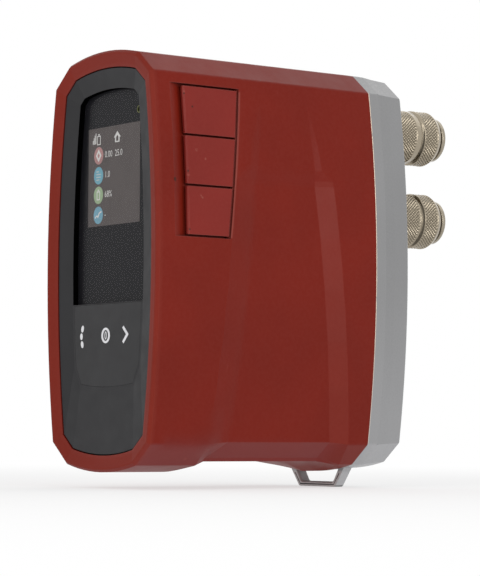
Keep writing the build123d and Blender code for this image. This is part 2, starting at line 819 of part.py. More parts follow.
def strap_eye():
    """The eye for a wrist strap, with a bevel on its front rim."""
    start = cover_depth - 1
    heights = (loop_eye_rise, loop_bar - loop_drop)
    face = loop_face((loop_eye_top, loop_eye_foot), heights, start, loop_eye_corner)
    eye = extrude(face, amount=shell_depth, dir=(0, 1, 0))
    front = cover_depth + loop_setback
    wide = loop_face((loop_eye_top + 4 * loop_bevel, loop_eye_foot + 2 * loop_bevel),
                     (loop_eye_rise, heights[1] - loop_bevel), front - slip, loop_eye_corner)
    narrow = loop_face((loop_eye_top, loop_eye_foot), heights, front + loop_bevel, loop_eye_corner)
    return eye + loft([wide, narrow], ruled=True)


def housing_gasket():
    """Rubber ring between the housing and the rear shell."""
    ring = prism(gasket_inset + slip, cover_depth, cover_depth + gasket_height)
    return ring - prism(gasket_inset + gasket_width - slip, cover_depth - 1, cover_depth + gasket_height + 1)


def rear_screws():
    """Four screws that close the rear shell."""
    screws = []
    seat = back_depth - counterbore_depth
    for x, z in rear_screw_spots():
        tip = cover_depth - rear_screw_length + screw_hole_floor + 1
        shank = rod(x, (tip, seat), z, screw_radius - slip)
        head = rod(x, (seat, seat + screw_head_height), z, screw_head)
        plane = Plane(origin=(x, deep(seat + screw_head_height - drive_depth), high(z)), z_dir=(0, 1, 0))
        drive = extrude(plane * RegularPolygon(drive_radius, 6), amount=2 * drive_depth)
        screws.append(shank + head - drive)
    return screws


def turned(profile, height):
    """A turned piece on a coupling's axis, from points (radius, distance from the back face)."""
    plane = Plane(origin=(0, deep(back_depth), high(height)), x_dir=(1, 0, 0), z_dir=(0, 0, 1))
    face = plane * make_face(Polyline(*profile, close=True))
    return revolve(face, axis=Axis((0, deep(back_depth), high(height)), (0, 1, 0)), revolution_arc=360)


def coupling_stem(height):
    """Screwed-in stem: neck through the shell, hexagon, and spigot in the barrel."""
    neck = turned([(passage_radius, -stem_neck_length), (stem_neck_radius, -stem_neck_length),
                   (stem_neck_radius, 0.01), (passage_radius, 0.01)], height)
    plane = Plane(origin=(0, deep(back_depth), high(height)), x_dir=(1, 0, 0), z_dir=(0, 1, 0))
    nut = extrude(plane * (RegularPolygon(hex_across / 2, 6, major_radius=False) - Circle(passage_radius)),
                  amount=hex_length)
    spigot_end = hex_length + spigot_length
    spigot = turned([(passage_radius, hex_length - 0.01), (spigot_radius, hex_length - 0.01),
                     (spigot_radius, spigot_end), (passage_radius, spigot_end)], height)
    return neck + nut + spigot


def coupling_barrel(height):
    """Barrel with the mouth, the valve seat and the chamber behind it."""
    ring_seat = coupling_reach - ring_length
    return turned([
        (chamber_radius, hex_length), (barrel_radius, hex_length), (barrel_radius, ring_seat),
        (barrel_radius - 0.5, ring_seat), (barrel_radius - 0.5, coupling_reach - 0.4),
        (barrel_radius - 0.9, coupling_reach), (mouth_radius + 0.5, coupling_reach),
        (mouth_radius, coupling_reach - 0.5), (mouth_radius, seal_front + fit_gap),
        (mouth_radius + seal_seat, seal_front + fit_gap), (mouth_radius + seal_seat, mouth_floor),
        (seat_hole_radius, mouth_floor), (seat_hole_radius, mouth_floor - seat_lip),
        (chamber_radius, mouth_floor - seat_lip),
    ], height)


def retaining_ring(height):
    """Smooth ring on the barrel's tip that keeps the sleeve on."""
    start = coupling_reach - ring_length
    inner = barrel_radius - 0.5
    return turned([
        (inner, start), (ring_radius - 0.3, start), (ring_radius, start + 0.3),
        (ring_radius, coupling_reach - 0.5), (ring_radius - 0.5, coupling_reach - 0.1),
        (inner, coupling_reach - 0.1),
    ], height)


def release_sleeve(height):
    """Sliding sleeve with two knurled bands, a vee groove and a hidden spring pocket."""
    bore = barrel_radius + sleeve_clearance
    groove_mid = groove_start + groove_width / 2
    return turned([
        (spring_pocket_radius, sleeve_rear), (skirt_radius - 0.3, sleeve_rear),
        (skirt_radius, sleeve_rear + 0.3), (skirt_radius, sleeve_rear + skirt_length - 0.4),
        (knurl_rear_radius, sleeve_rear + skirt_length), (knurl_rear_radius, groove_start),
        (groove_radius, groove_mid), (knurl_front_radius, groove_start + groove_width),
        (knurl_front_radius, knurl_end), (nose_radius, nose_end), (lip_radius, nose_end),
        (lip_radius, nose_end + 0.9), (bore, nose_end + 0.9), (bore, spring_pocket_end),
        (spring_pocket_radius, spring_pocket_end),
    ], height)


def coil(height, start, end, radius, wire, turns):
    """A compression spring on a coupling's axis."""
    length = end - start - 2 * wire
    path = Helix(pitch=length / turns, height=length, radius=radius)
    profile = Plane(origin=path @ 0, z_dir=path % 0) * RegularPolygon(wire, wire_sides)
    spring = sweep(profile, path=path)
    plane = Plane(origin=(0, deep(back_depth + start + wire), high(height)), x_dir=(1, 0, 0), z_dir=(0, 1, 0))
    return plane * spring


def sleeve_spring(height):
    """Spring that pushes the release sleeve back towards the mouth."""
    radius = (barrel_radius + spring_pocket_radius) / 2
    start = hex_length + spring_gap
    return coil(height, start, spring_pocket_end - spring_gap, radius, sleeve_wire, sleeve_turns)


def poppet(height):
    """Valve poppet: guided head, nose through the seat, and a tail for its spring."""
    tail = poppet_stop + poppet_travel + poppet_stop_gap
    guide = chamber_radius - poppet_clearance
    return turned([
        (0, tail), (poppet_stem_radius, tail), (poppet_stem_radius, poppet_rear),
        (guide, poppet_rear), (guide, poppet_front - 1.0), (poppet_nose_radius + 0.4, poppet_front),
        (poppet_nose_radius, poppet_front), (poppet_nose_radius, seal_front - 0.4),
        (poppet_nose_radius - 0.4, seal_front), (0, seal_front),
    ], height)


def poppet_spring(height):
    """Spring that closes the poppet."""
    radius = (poppet_stem_radius + chamber_radius) / 2
    start = poppet_stop + spring_gap
    return coil(height, start, poppet_rear - spring_gap, radius, poppet_wire, poppet_turns)


def mouth_seal(height):
    """Flat rubber seal at the bottom of the mouth."""
    outer = mouth_radius + seal_seat - slip
    return turned([
        (seal_hole_radius, mouth_floor), (outer, mouth_floor),
        (outer, seal_front), (seal_hole_radius, seal_front),
    ], height)


def manifold_range():
    """Bottom and top height of the sensor block."""
    heights = sorted(coupling_heights.values())
    return heights[0] - manifold_margin, heights[-1] + manifold_margin


def manifold_screw_spots():
    """X and height of the screws through the sensor block."""
    low, top = manifold_range()
    return [(x, (low + top) / 2) for x in (-manifold_screw_x, manifold_screw_x)]


def sensor_manifold():
    """Block that joins both couplings to the sensor and the bypass valve."""
    low, top = manifold_range()
    rear = back_depth - shell_back_wall
    body = block((-manifold_width / 2, manifold_width / 2), (manifold_front, rear), (low, top))
    body = chamfer(body.edges().filter_by(Axis.Y), manifold_edge)
    for height in coupling_heights.values():
        body -= rod(0, (back_depth - stem_neck_length, back_depth), height, stem_neck_radius)
        body -= rod(0, (manifold_front - 1, back_depth), height, passage_radius)
    for x, height in manifold_screw_spots():
        body -= rod(x, (manifold_front - 1, rear + 1), height, screw_radius + fit_gap)
    return body


def manifold_screws():
    """Screws that clamp the sensor block to the shell's back wall."""
    screws = []
    for x, height in manifold_screw_spots():
        shank = rod(x, (manifold_front, back_depth - shell_back_wall), height, screw_radius)
        head = rod(x, (manifold_front - screw_head_height, manifold_front), height, screw_head)
        screws.append(shank + head)
    return screws


def pressure_sensor():
    """Differential pressure cell on the front of the sensor block."""
    height = coupling_heights["upper"]
    front = manifold_front - sensor_length
    cell = rod(0, (front, manifold_front), height, sensor_radius)
    return cell + rod(0, (front - sensor_cap_length, front), height, sensor_cap_radius)


def bypass_valve():
    """Small motor valve that joins both sides for zero setting."""
    height = coupling_heights["lower"]
    motor = rod(0, (manifold_front - valve_length, manifold_front), height, valve_radius)
    half = valve_flange_width / 2
    flange = block((-half, half), (manifold_front - valve_flange_thickness, manifold_front),
                   (height - half, height + half))
    return motor + flange


def write(name, shape):
    """Save one node."""
    export_step(Compound(children=list(shape)) if isinstance(shape, list) else shape, f"parts/{name}.step")


def main():
    os.makedirs("parts", exist_ok=True)
    write("rubber_cover", rubber_cover())
    write("inner_housing", inner_housing())
    write("front_bezel", front_bezel())
    write("keypad_membrane", keypad_membrane())
    write("display_window", display_window())
    write("display_module", display_module())
    write("status_led", status_led())
    write("key_board", key_board())
    for name, x in zip(("menu_key", "select_key", "next_key"), key_across):
        write(name, key_plunger(x))
    write("main_board", main_board())
    write("board_screws", board_screws())
    write("battery_pack", battery_pack())
    write("port_board", port_board())
    write("charging_socket", charging_socket())
    write("lower_probe_socket", probe_socket(0))
    write("middle_probe_socket", probe_socket(1))
    for index, name in enumerate(("lower_port_flap", "middle_port_flap", "upper_port_flap")):
        write(name, port_flap(index))
    write("rear_shell", rear_shell())
    write("housing_gasket", housing_gasket())
    write("rear_screws", rear_screws())
    write("sensor_manifold", sensor_manifold())
    write("manifold_screws", manifold_screws())
    write("pressure_sensor", pressure_sensor())
    write("bypass_valve", bypass_valve())
    for side, height in coupling_heights.items():
        write(f"{side}_coupling_stem", coupling_stem(height))
        write(f"{side}_coupling_barrel", coupling_barrel(height))
        write(f"{side}_retaining_ring", retaining_ring(height))
        write(f"{side}_release_sleeve", release_sleeve(height))
        write(f"{side}_sleeve_spring", sleeve_spring(height))
        write(f"{side}_poppet", poppet(height))
        write(f"{side}_poppet_spring", poppet_spring(height))
        write(f"{side}_mouth_seal", mouth_seal(height))


main()
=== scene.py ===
# %% [markdown]
# A hand-held pressure transmitter: the frame first
# The solid pieces come from the construction model at their real size. This lesson dresses them: it gives
# each one the finish of the real thing and adds what is too fine for the solids, such as knurls, printed
# symbols and the picture on the display. Nothing that was imported is moved.

# %% The imported pieces and the box they fill
import math

import bmesh
import bpy
from mathutils import Matrix, Vector


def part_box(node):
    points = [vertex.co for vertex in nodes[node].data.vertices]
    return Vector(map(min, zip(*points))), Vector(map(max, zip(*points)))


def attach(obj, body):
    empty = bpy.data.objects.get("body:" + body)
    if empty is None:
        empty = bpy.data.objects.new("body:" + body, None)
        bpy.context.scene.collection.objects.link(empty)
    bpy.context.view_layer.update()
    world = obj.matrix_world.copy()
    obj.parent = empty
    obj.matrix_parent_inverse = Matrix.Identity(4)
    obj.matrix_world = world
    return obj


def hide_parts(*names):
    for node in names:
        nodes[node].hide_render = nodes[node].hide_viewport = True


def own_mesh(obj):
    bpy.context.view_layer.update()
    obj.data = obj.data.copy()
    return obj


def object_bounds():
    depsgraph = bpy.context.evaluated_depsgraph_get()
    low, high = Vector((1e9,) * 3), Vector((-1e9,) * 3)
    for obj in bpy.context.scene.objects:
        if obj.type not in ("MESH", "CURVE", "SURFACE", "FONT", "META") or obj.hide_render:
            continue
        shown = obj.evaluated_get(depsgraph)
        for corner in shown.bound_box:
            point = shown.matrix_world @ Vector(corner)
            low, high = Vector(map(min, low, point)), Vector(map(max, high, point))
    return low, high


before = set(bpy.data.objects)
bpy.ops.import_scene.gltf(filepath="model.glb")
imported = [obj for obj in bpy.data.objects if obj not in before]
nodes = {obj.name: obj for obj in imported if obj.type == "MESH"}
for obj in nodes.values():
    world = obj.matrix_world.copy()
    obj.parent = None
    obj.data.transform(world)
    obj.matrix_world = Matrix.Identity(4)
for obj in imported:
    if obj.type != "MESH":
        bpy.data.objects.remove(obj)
cad_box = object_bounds()
MM = 0.001
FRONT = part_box("rubber_cover")[0].y
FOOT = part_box("rubber_cover")[0].z
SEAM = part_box("rubber_cover")[1].y
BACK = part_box("rear_shell")[1].y


# %% A place on the part
def spot(x, height, depth):
    """From millimetres across, above the body's foot and behind its front crest, to a place."""
    return Vector((x * MM, FRONT + depth * MM, FOOT + height * MM))


print("the seam lies", round((SEAM - FRONT) / MM, 2), "mm behind the crest")


# %% [markdown]
# The picture's camera
# A product photo is taken with a long lens from a low stand. The place below was worked out from the
# corners of the body in the picture: to the right of the front, a little below the middle and looking
# slightly up. The lens is given for the long side of the picture, which is the upright one.

# %% The camera
CAMERA_PLACE = Vector((0.6485, -0.4906, 0.0185))
CAMERA_AZIMUTH = math.radians(53.71)
CAMERA_PITCH = math.radians(3.39)
CAMERA_ROLL = math.radians(0.30)
FOCAL_PIXELS = 2418.0
PICTURE_HEIGHT = 576.0
SENSOR = 36.0


def make_camera():
    """The camera, aimed by azimuth, pitch and roll."""
    data = bpy.data.cameras.new("camera")
    data.sensor_fit = "AUTO"
    data.sensor_width = SENSOR
    data.lens = FOCAL_PIXELS * SENSOR / PICTURE_HEIGHT
    camera = bpy.data.objects.new("camera", data)
    bpy.context.scene.collection.objects.link(camera)
    flat = Vector((-math.sin(CAMERA_AZIMUTH), math.cos(CAMERA_AZIMUTH), 0.0))
    forward = flat * math.cos(CAMERA_PITCH) + Vector((0, 0, math.sin(CAMERA_PITCH)))
    level_right = forward.cross(Vector((0, 0, 1))).normalized()
    level_up = level_right.cross(forward)
    right = level_right * math.cos(CAMERA_ROLL) + level_up * math.sin(CAMERA_ROLL)
    up = right.cross(forward)
    camera.matrix_world = Matrix((
        (right.x, up.x, -forward.x, CAMERA_PLACE.x),
        (right.y, up.y, -forward.y, CAMERA_PLACE.y),
        (right.z, up.z, -forward.z, CAMERA_PLACE.z),
        (0, 0, 0, 1),
    ))
    bpy.context.scene.camera = camera
    return camera


camera = make_camera()
print("camera lens", round(camera.data.lens, 1), "mm")


# %% [markdown]
# A white room with soft lamps
# The picture has a plain white ground and very even light, as in a light tent. The world is white to the
# camera, to reflections and through glass, and dimmer where it lights rough surfaces, so the lamps can
# still shape the form. A broad lamp hangs above and behind, the key lamp stands on the camera's side and
# a weak one fills the right. They are low, so that a colour renders about as it is written.

# %% The world
def new_world(light_strength):
    """White where it is seen or mirrored, dimmer as a source of light."""
    world = bpy.data.worlds.new("studio")
    world.use_nodes = True
    tree = world.node_tree
    tree.nodes.clear()
    path = tree.nodes.new("ShaderNodeLightPath")
    seen = tree.nodes.new("ShaderNodeMath")
    seen.operation = "MAXIMUM"
    tree.links.new(path.outputs["Is Camera Ray"], seen.inputs[0])
    tree.links.new(path.outputs["Is Glossy Ray"], seen.inputs[1])
    seen_all = tree.nodes.new("ShaderNodeMath")
    seen_all.operation = "MAXIMUM"
    tree.links.new(seen.outputs[0], seen_all.inputs[0])
    tree.links.new(path.outputs["Is Transmission Ray"], seen_all.inputs[1])
    glow = tree.nodes.new("ShaderNodeBackground")
    glow.inputs["Color"].default_value = (1, 1, 1, 1)
    glow.inputs["Strength"].default_value = light_strength
    white = tree.nodes.new("ShaderNodeBackground")
    white.inputs["Color"].default_value = (1, 1, 1, 1)
    white.inputs["Strength"].default_value = 1.0
    mix = tree.nodes.new("ShaderNodeMixShader")
    tree.links.new(seen_all.outputs[0], mix.inputs[0])
    tree.links.new(glow.outputs[0], mix.inputs[1])
    tree.links.new(white.outputs[0], mix.inputs[2])
    out = tree.nodes.new("ShaderNodeOutputWorld")
    tree.links.new(mix.outputs[0], out.inputs["Surface"])
    bpy.context.scene.world = world
    return world


WORLD_LIGHT = 0.55
new_world(WORLD_LIGHT)
bpy.context.scene.view_settings.view_transform = "Standard"
print("world light", WORLD_LIGHT)


# %% The lamps
def soft_lamp(name, place, aim, size, power):
    """A square softbox that looks at a point."""
    data = bpy.data.lights.new(name, "AREA")
    data.shape = "SQUARE"
    data.size = size
    data.energy = power
    lamp = bpy.data.objects.new(name, data)
    bpy.context.scene.collection.objects.link(lamp)
    lamp.location = place
    lamp.rotation_mode = "QUATERNION"
    lamp.rotation_quaternion = (Vector(aim) - Vector(place)).to_track_quat("-Z", "Y")
    return lamp


MIDDLE = (cad_box[0] + cad_box[1]) / 2
LAMPS = {
    "top_softbox": ((-0.25, 0.50, 0.80), 1.3, 2.2),
    "left_softbox": ((-0.95, -0.35, 0.30), 0.9, 0.6),
    "key_softbox": ((0.35, -0.90, 0.45), 0.6, 2.7),
    "right_fill": ((0.95, -0.04, 0.25), 0.42, 2.2),
}
for lamp_name, (lamp_place, lamp_size, lamp_power) in LAMPS.items():
    soft_lamp(lamp_name, lamp_place, MIDDLE, lamp_size, lamp_power)
print("lamps", sorted(LAMPS))


# %% [markdown]
# The floor
# The part stands on a pale floor that melts into the white behind it. The floor is one large sheet.
# It glows a little, so that it lights the underside as the sheet of a light tent does, and it turns to
# plain white with distance. Near the part it is plain paper that takes the shadow, and this shadow is what
# ties the object down.

# %% A pale floor
FLOOR_NEAR = 0.12
FLOOR_FAR = 0.55


def floor_material():
    """White paper near the part, pure white light far away."""
    material = bpy.data.materials.new("pale_floor")
    material.use_nodes = True
    tree = material.node_tree
    tree.nodes.clear()
    place = tree.nodes.new("ShaderNodeTexCoord")
    length = tree.nodes.new("ShaderNodeVectorMath")
    length.operation = "LENGTH"
    tree.links.new(place.outputs["Object"], length.inputs[0])
    far = tree.nodes.new("ShaderNodeMapRange")
    far.interpolation_type = "SMOOTHSTEP"
    far.inputs["From Min"].default_value = FLOOR_NEAR
    far.inputs["From Max"].default_value = FLOOR_FAR
    tree.links.new(length.outputs["Value"], far.inputs["Value"])
    paper = tree.nodes.new("ShaderNodeBsdfDiffuse")
    paper.inputs["Color"].default_value = (0.38, 0.38, 0.38, 1)
    glow = tree.nodes.new("ShaderNodeEmission")
    glow.inputs["Strength"].default_value = 0.62
    lit_paper = tree.nodes.new("ShaderNodeAddShader")
    tree.links.new(paper.outputs[0], lit_paper.inputs[0])
    tree.links.new(glow.outputs[0], lit_paper.inputs[1])
    white = tree.nodes.new("ShaderNodeEmission")
    mix = tree.nodes.new("ShaderNodeMixShader")
    tree.links.new(far.outputs["Result"], mix.inputs[0])
    tree.links.new(lit_paper.outputs[0], mix.inputs[1])
    tree.links.new(white.outputs[0], mix.inputs[2])
    out = tree.nodes.new("ShaderNodeOutputMaterial")
    tree.links.new(mix.outputs[0], out.inputs["Surface"])
    return material


def make_floor(half):
    """A large flat sheet at the height of the lowest point."""
    mesh = bpy.data.meshes.new("floor")
    corners = [(-half, -half, 0), (half, -half, 0), (half, half, 0), (-half, half, 0)]
    mesh.from_pydata(corners, [], [(0, 1, 2, 3)])
    floor = bpy.data.objects.new("floor", mesh)
    bpy.context.scene.collection.objects.link(floor)
    mesh.materials.append(floor_material())
    return floor


make_floor(6.0)
print("floor at the foot of the strap loop")


# %% [markdown]
# Tools for the finishes
# Every finish here is a small node tree: noise for the colour, finer noise for the grain, and a rounded
# normal that catches the light along the edges, as moulded and cast parts do. These helpers keep each
# recipe short.

# %% Node helpers
GRAIN_HEIGHT = 0.02 * MM   # how high the grain and the tool marks stand at full strength


class Finish:
    """A material under construction, with its main shader and object coordinates."""

    def __init__(self, name, roughness, metallic=0.0, specular=0.5):
        self.material = bpy.data.materials.new(name)
        self.material.use_nodes = True
        self.tree = self.material.node_tree
        self.shader = self.tree.nodes["Principled BSDF"]
        self.shader.inputs["Roughness"].default_value = roughness
        self.shader.inputs["Metallic"].default_value = metallic
        self.shader.inputs["Specular IOR Level"].default_value = specular
        self.place = self.tree.nodes.new("ShaderNodeTexCoord").outputs["Object"]

    def node(self, kind, **settings):
        """A new node with its settings."""
        made = self.tree.nodes.new(kind)
        for key, value in settings.items():
            setattr(made, key, value)
        return made

    def feed(self, socket, value):
        """Connects an output to a socket, or writes a plain value into it."""
        if isinstance(value, bpy.types.NodeSocket):
            self.tree.links.new(value, socket)
        else:
            socket.default_value = value

    def along(self, axis):
        """One object coordinate of a point, in metres."""
        split = self.node("ShaderNodeSeparateXYZ")
        self.feed(split.inputs[0], self.place)
        return split.outputs[axis]

    def noise(self, per_metre, detail=2.0, stretch=(1, 1, 1)):
        """Noise with so many lumps to the metre."""
        mapping = self.node("ShaderNodeMapping")
        mapping.inputs["Scale"].default_value = stretch
        self.feed(mapping.inputs["Vector"], self.place)
        noise = self.node("ShaderNodeTexNoise")
        self.feed(noise.inputs["Vector"], mapping.outputs[0])
        noise.inputs["Scale"].default_value = per_metre
        noise.inputs["Detail"].default_value = detail
        return noise.outputs["Fac"]

    def spread(self, value, low, high, to_low=0.0, to_high=1.0):
        """Maps a range of values to another, clamped."""
        ramp = self.node("ShaderNodeMapRange")
        self.feed(ramp.inputs["Value"], value)
        ends = {"From Min": low, "From Max": high, "To Min": to_low, "To Max": to_high}
        for socket, number in ends.items():
            ramp.inputs[socket].default_value = number
        return ramp.outputs["Result"]

    def math(self, operation, a, b):
        """One sum on two values."""
        made = self.node("ShaderNodeMath", operation=operation)
        self.feed(made.inputs[0], a)
        self.feed(made.inputs[1], b)
        return made.outputs[0]

    def blend(self, share, first, second):
        """A colour between two colours."""
        mix = self.node("ShaderNodeMix", data_type="RGBA")
        self.feed(mix.inputs["Factor"], share)
        for socket, colour in ((mix.inputs["A"], first), (mix.inputs["B"], second)):
            self.feed(socket, colour if isinstance(colour, bpy.types.NodeSocket) else (*colour, 1))
        return mix.outputs["Result"]

    def rounded(self, radius):
        """A normal that is rounded over near the edges."""
        bevel = self.node("ShaderNodeBevel", samples=6)
        bevel.inputs["Radius"].default_value = radius
        return bevel.outputs["Normal"]

    def edge(self, rounded_normal, reach):
        """How close a point is to an edge, from 0 to 1."""
        flat = self.node("ShaderNodeNewGeometry").outputs["Normal"]
        turn = self.node("ShaderNodeVectorMath", operation="DOT_PRODUCT")
        self.feed(turn.inputs[0], rounded_normal)
        self.feed(turn.inputs[1], flat)
        return self.spread(turn.outputs["Value"], 1.0, 1.0 - reach)

    def crevice(self, reach, low=0.3, high=0.8):
        """How open a point is within a reach: 0 in a narrow gap, 1 on a free face."""
        shade = self.node("ShaderNodeAmbientOcclusion", samples=8)
        shade.inputs["Distance"].default_value = reach
        return self.spread(shade.outputs["AO"], low, high)

    def turned_down(self, normal, low, high):
        """How far a normal looks down, from 0 on a wall to 1."""
        split = self.node("ShaderNodeSeparateXYZ")
        self.feed(split.inputs[0], normal)
        return self.spread(self.math("MULTIPLY", split.outputs["Z"], -1.0), low, high)

    def behind(self, depth, run):
        """0 in front of a depth, 1 behind it, with a run between them, in millimetres."""
        return self.spread(self.along("Y"), FRONT + depth * MM, FRONT + (depth + run) * MM)

    def bump(self, height, strength, normal):
        """Lays grain of a given strength over a normal."""
        made = self.node("ShaderNodeBump")
        made.inputs["Strength"].default_value = strength
        made.inputs["Distance"].default_value = GRAIN_HEIGHT
        self.feed(made.inputs["Height"], height)
        self.feed(made.inputs["Normal"], normal)
        return made.outputs["Normal"]


def dress(names, finish):
    """Gives one finish to several imported pieces."""
    for name in names:
        mesh = nodes[name].data
        mesh.materials.clear()
        mesh.materials.append(finish.material)


print("finish tools are ready")


# %% [markdown]
# Marks on the side
# The cover gets a pale line beside the flaps and a faint pale strip on the belly, both painted highlights,
# and a few spots of dirt. A shader can find such places from object coordinates: a strip is the distance to
# a leaning line, a spot is the distance to a point on the bowed side. This needs no picture, and the marks
# stay put from every side.

# %% Places on the side
SIDE_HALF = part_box("rubber_cover")[1].x / MM
SIDE_BOW = 4.4             # how far the side bows out between its ends
SIDE_SPAN = 58.4           # half the height of the bow
SIDE_MIDDLE = 67.5         # height of its widest place
STRIP_FADE = 0.25
STRIP_END_FADE = 0.5


def side_x(height):
    """How far out the bowed side lies at a height, in millimetres."""
    bow_radius = (SIDE_BOW ** 2 + SIDE_SPAN ** 2) / (2 * SIDE_BOW)
    return SIDE_HALF - bow_radius + math.sqrt(bow_radius ** 2 - (height - SIDE_MIDDLE) ** 2)


def near_plane(finish, depth, lean, half, heights, right_only):
    """1 within a strip on the side that runs up at a lean, given in millimetres, else 0."""
    low, top = heights
    z = finish.along("Z")
    foot = FRONT + (depth - lean * low) * MM - lean * FOOT
    line = finish.math("ADD", finish.math("MULTIPLY", z, lean), foot)
    away = finish.math("ABSOLUTE", finish.math("SUBTRACT", finish.along("Y"), line), 0.0)
    strip = finish.spread(away, half * MM, (half + STRIP_FADE) * MM, 1.0, 0.0)
    above = finish.spread(z, FOOT + low * MM, FOOT + (low + STRIP_END_FADE) * MM)
    below = finish.spread(z, FOOT + (top - STRIP_END_FADE) * MM, FOOT + top * MM, 1.0, 0.0)
    right = finish.math("GREATER_THAN", finish.along("X"), 0.0 if right_only else -1.0)
    between = finish.math("MULTIPLY", above, below)
    return finish.math("MULTIPLY", finish.math("MULTIPLY", strip, right), between)


def near_spot(finish, height, depth, radius):
    """1 within a radius of a spot on the right side, fading out beyond it, all in millimetres."""
    away = finish.node("ShaderNodeVectorMath", operation="DISTANCE")
    finish.feed(away.inputs[0], finish.place)
    finish.feed(away.inputs[1], spot(side_x(height), height, depth))
    return finish.spread(away.outputs["Value"], radius * 0.6 * MM, radius * 1.3 * MM, 1.0, 0.0)


print("the side lies", round(side_x(SIDE_MIDDLE), 2), "mm out at its widest place")


# %% [markdown]
# Soft bends
# The moulded cover has two broad bends that the solids show as facets: the walls of the grip hollow and
# the lower front corner. A bevel node with a large radius rounds their shading without any new mesh. It
# is kept to zones, so that the crisp rims elsewhere stay crisp.

# %% Zones with softer bends
SOFT_ZONES = (             # radius, then where the zone rises, falls, starts and ends: place and run
    (3.5, (9, 4), (116, 5), (29.5, 3), (60, 5)),
    (8.0, (4.2, 1.5), (18, 4), (4.0, 3), (26, 4)),
)


def soft_zone(finish, height, rise, fall, fore, aft):
    """1 within a zone of heights and depths, each end given as a place and a run in millimetres."""
    share = finish.math("MULTIPLY", finish.behind(*fore), finish.spread(finish.behind(*aft), 0, 1, 1, 0))
    for (low, run), start, end in ((rise, 0, 1), (fall, 1, 0)):
        step = finish.spread(height, FOOT + low * MM, FOOT + (low + run) * MM, start, end)
        share = finish.math("MULTIPLY", share, step)
    return share


def softened(finish, round_normal):
    """The normal, with the broad bends rounded over more than the sharp edges."""
    height = finish.along("Z")
    normal = round_normal
    for radius, *zone in SOFT_ZONES:
        mix = finish.node("ShaderNodeMix", data_type="VECTOR")
        finish.feed(mix.inputs["Factor"], soft_zone(finish, height, *zone))
        vectors = [socket for socket in mix.inputs if socket.type == "VECTOR"]
        finish.feed(vectors[-2], normal)
        finish.feed(vectors[-1], finish.rounded(radius * MM))
        normal = [socket for socket in mix.outputs if socket.type == "VECTOR"][0]
    return normal


print("soft zones", len(SOFT_ZONES))


# %% [markdown]
# The rubber cover
# The cover is a soft, slightly dusty red rubber. It has a broad uneven tone from handling, a fine moulded
# grain and paler edges, partly rubbed and partly a painted highlight. Faces that look down are painted paler,
# a painted reflection of light from the floor, and its gaps are painted dark red as painted shade. The grain
# is bump because it is finer than a hair, and the rest is colour, built up in thin layers.

# %% Rubber
FLOOR_LIGHT_SHARE = 0.55               # how much painted reflection of floor light lies on faces that look down
FLOOR_LIGHT_RED = (0.18, 0.036, 0.036)
FRONT_SHEEN = 0.25         # the front rim is rubbed dull
FRONT_RUB = 0.30           # and a little pale
CREVICE_REACH = 1.6 * MM
DIRT = (0.02, 0.012, 0.008)


def rub_and_highlight_marks(finish, round_normal, blotch, edge_wear_and_highlight, strips, nicks):
    """How far the red is turned pale: rubbed at edges, where it is also a painted highlight, in scuffs, in
    the painted highlight strips, on the front rim and in nicks.
    """
    # edges are painted pale: partly rubbing, partly a painted highlight
    worn_and_lit_edge = finish.spread(blotch, 0.1, 0.8, 0.25, edge_wear_and_highlight)
    rub_and_highlight = finish.math("MULTIPLY", finish.edge(round_normal, 0.12), worn_and_lit_edge)
    scuff = finish.math("MULTIPLY", finish.spread(finish.noise(260, 4.0, (1, 1, 0.35)), 0.66, 0.74),
                        finish.spread(finish.noise(48, 2.0), 0.52, 0.62))
    rub_and_highlight = finish.math("MAXIMUM", rub_and_highlight, finish.math("MULTIPLY", scuff, 0.35))
    # the strips are painted highlights
    for strength, *strip in strips:
        rub_and_highlight = finish.math("MAXIMUM", rub_and_highlight, finish.math("MULTIPLY", near_plane(finish, *strip), strength))
    rub_and_highlight = finish.math("MAXIMUM", rub_and_highlight, finish.spread(finish.behind(1.0, 1.2), 0, 1, FRONT_RUB, 0.0))
    ragged = finish.spread(finish.noise(1400, 3.0), 0.42, 0.56)
    for nick in nicks:
        rub_and_highlight = finish.math("MAXIMUM", rub_and_highlight, finish.math("MULTIPLY", near_spot(finish, *nick), ragged))
    return rub_and_highlight


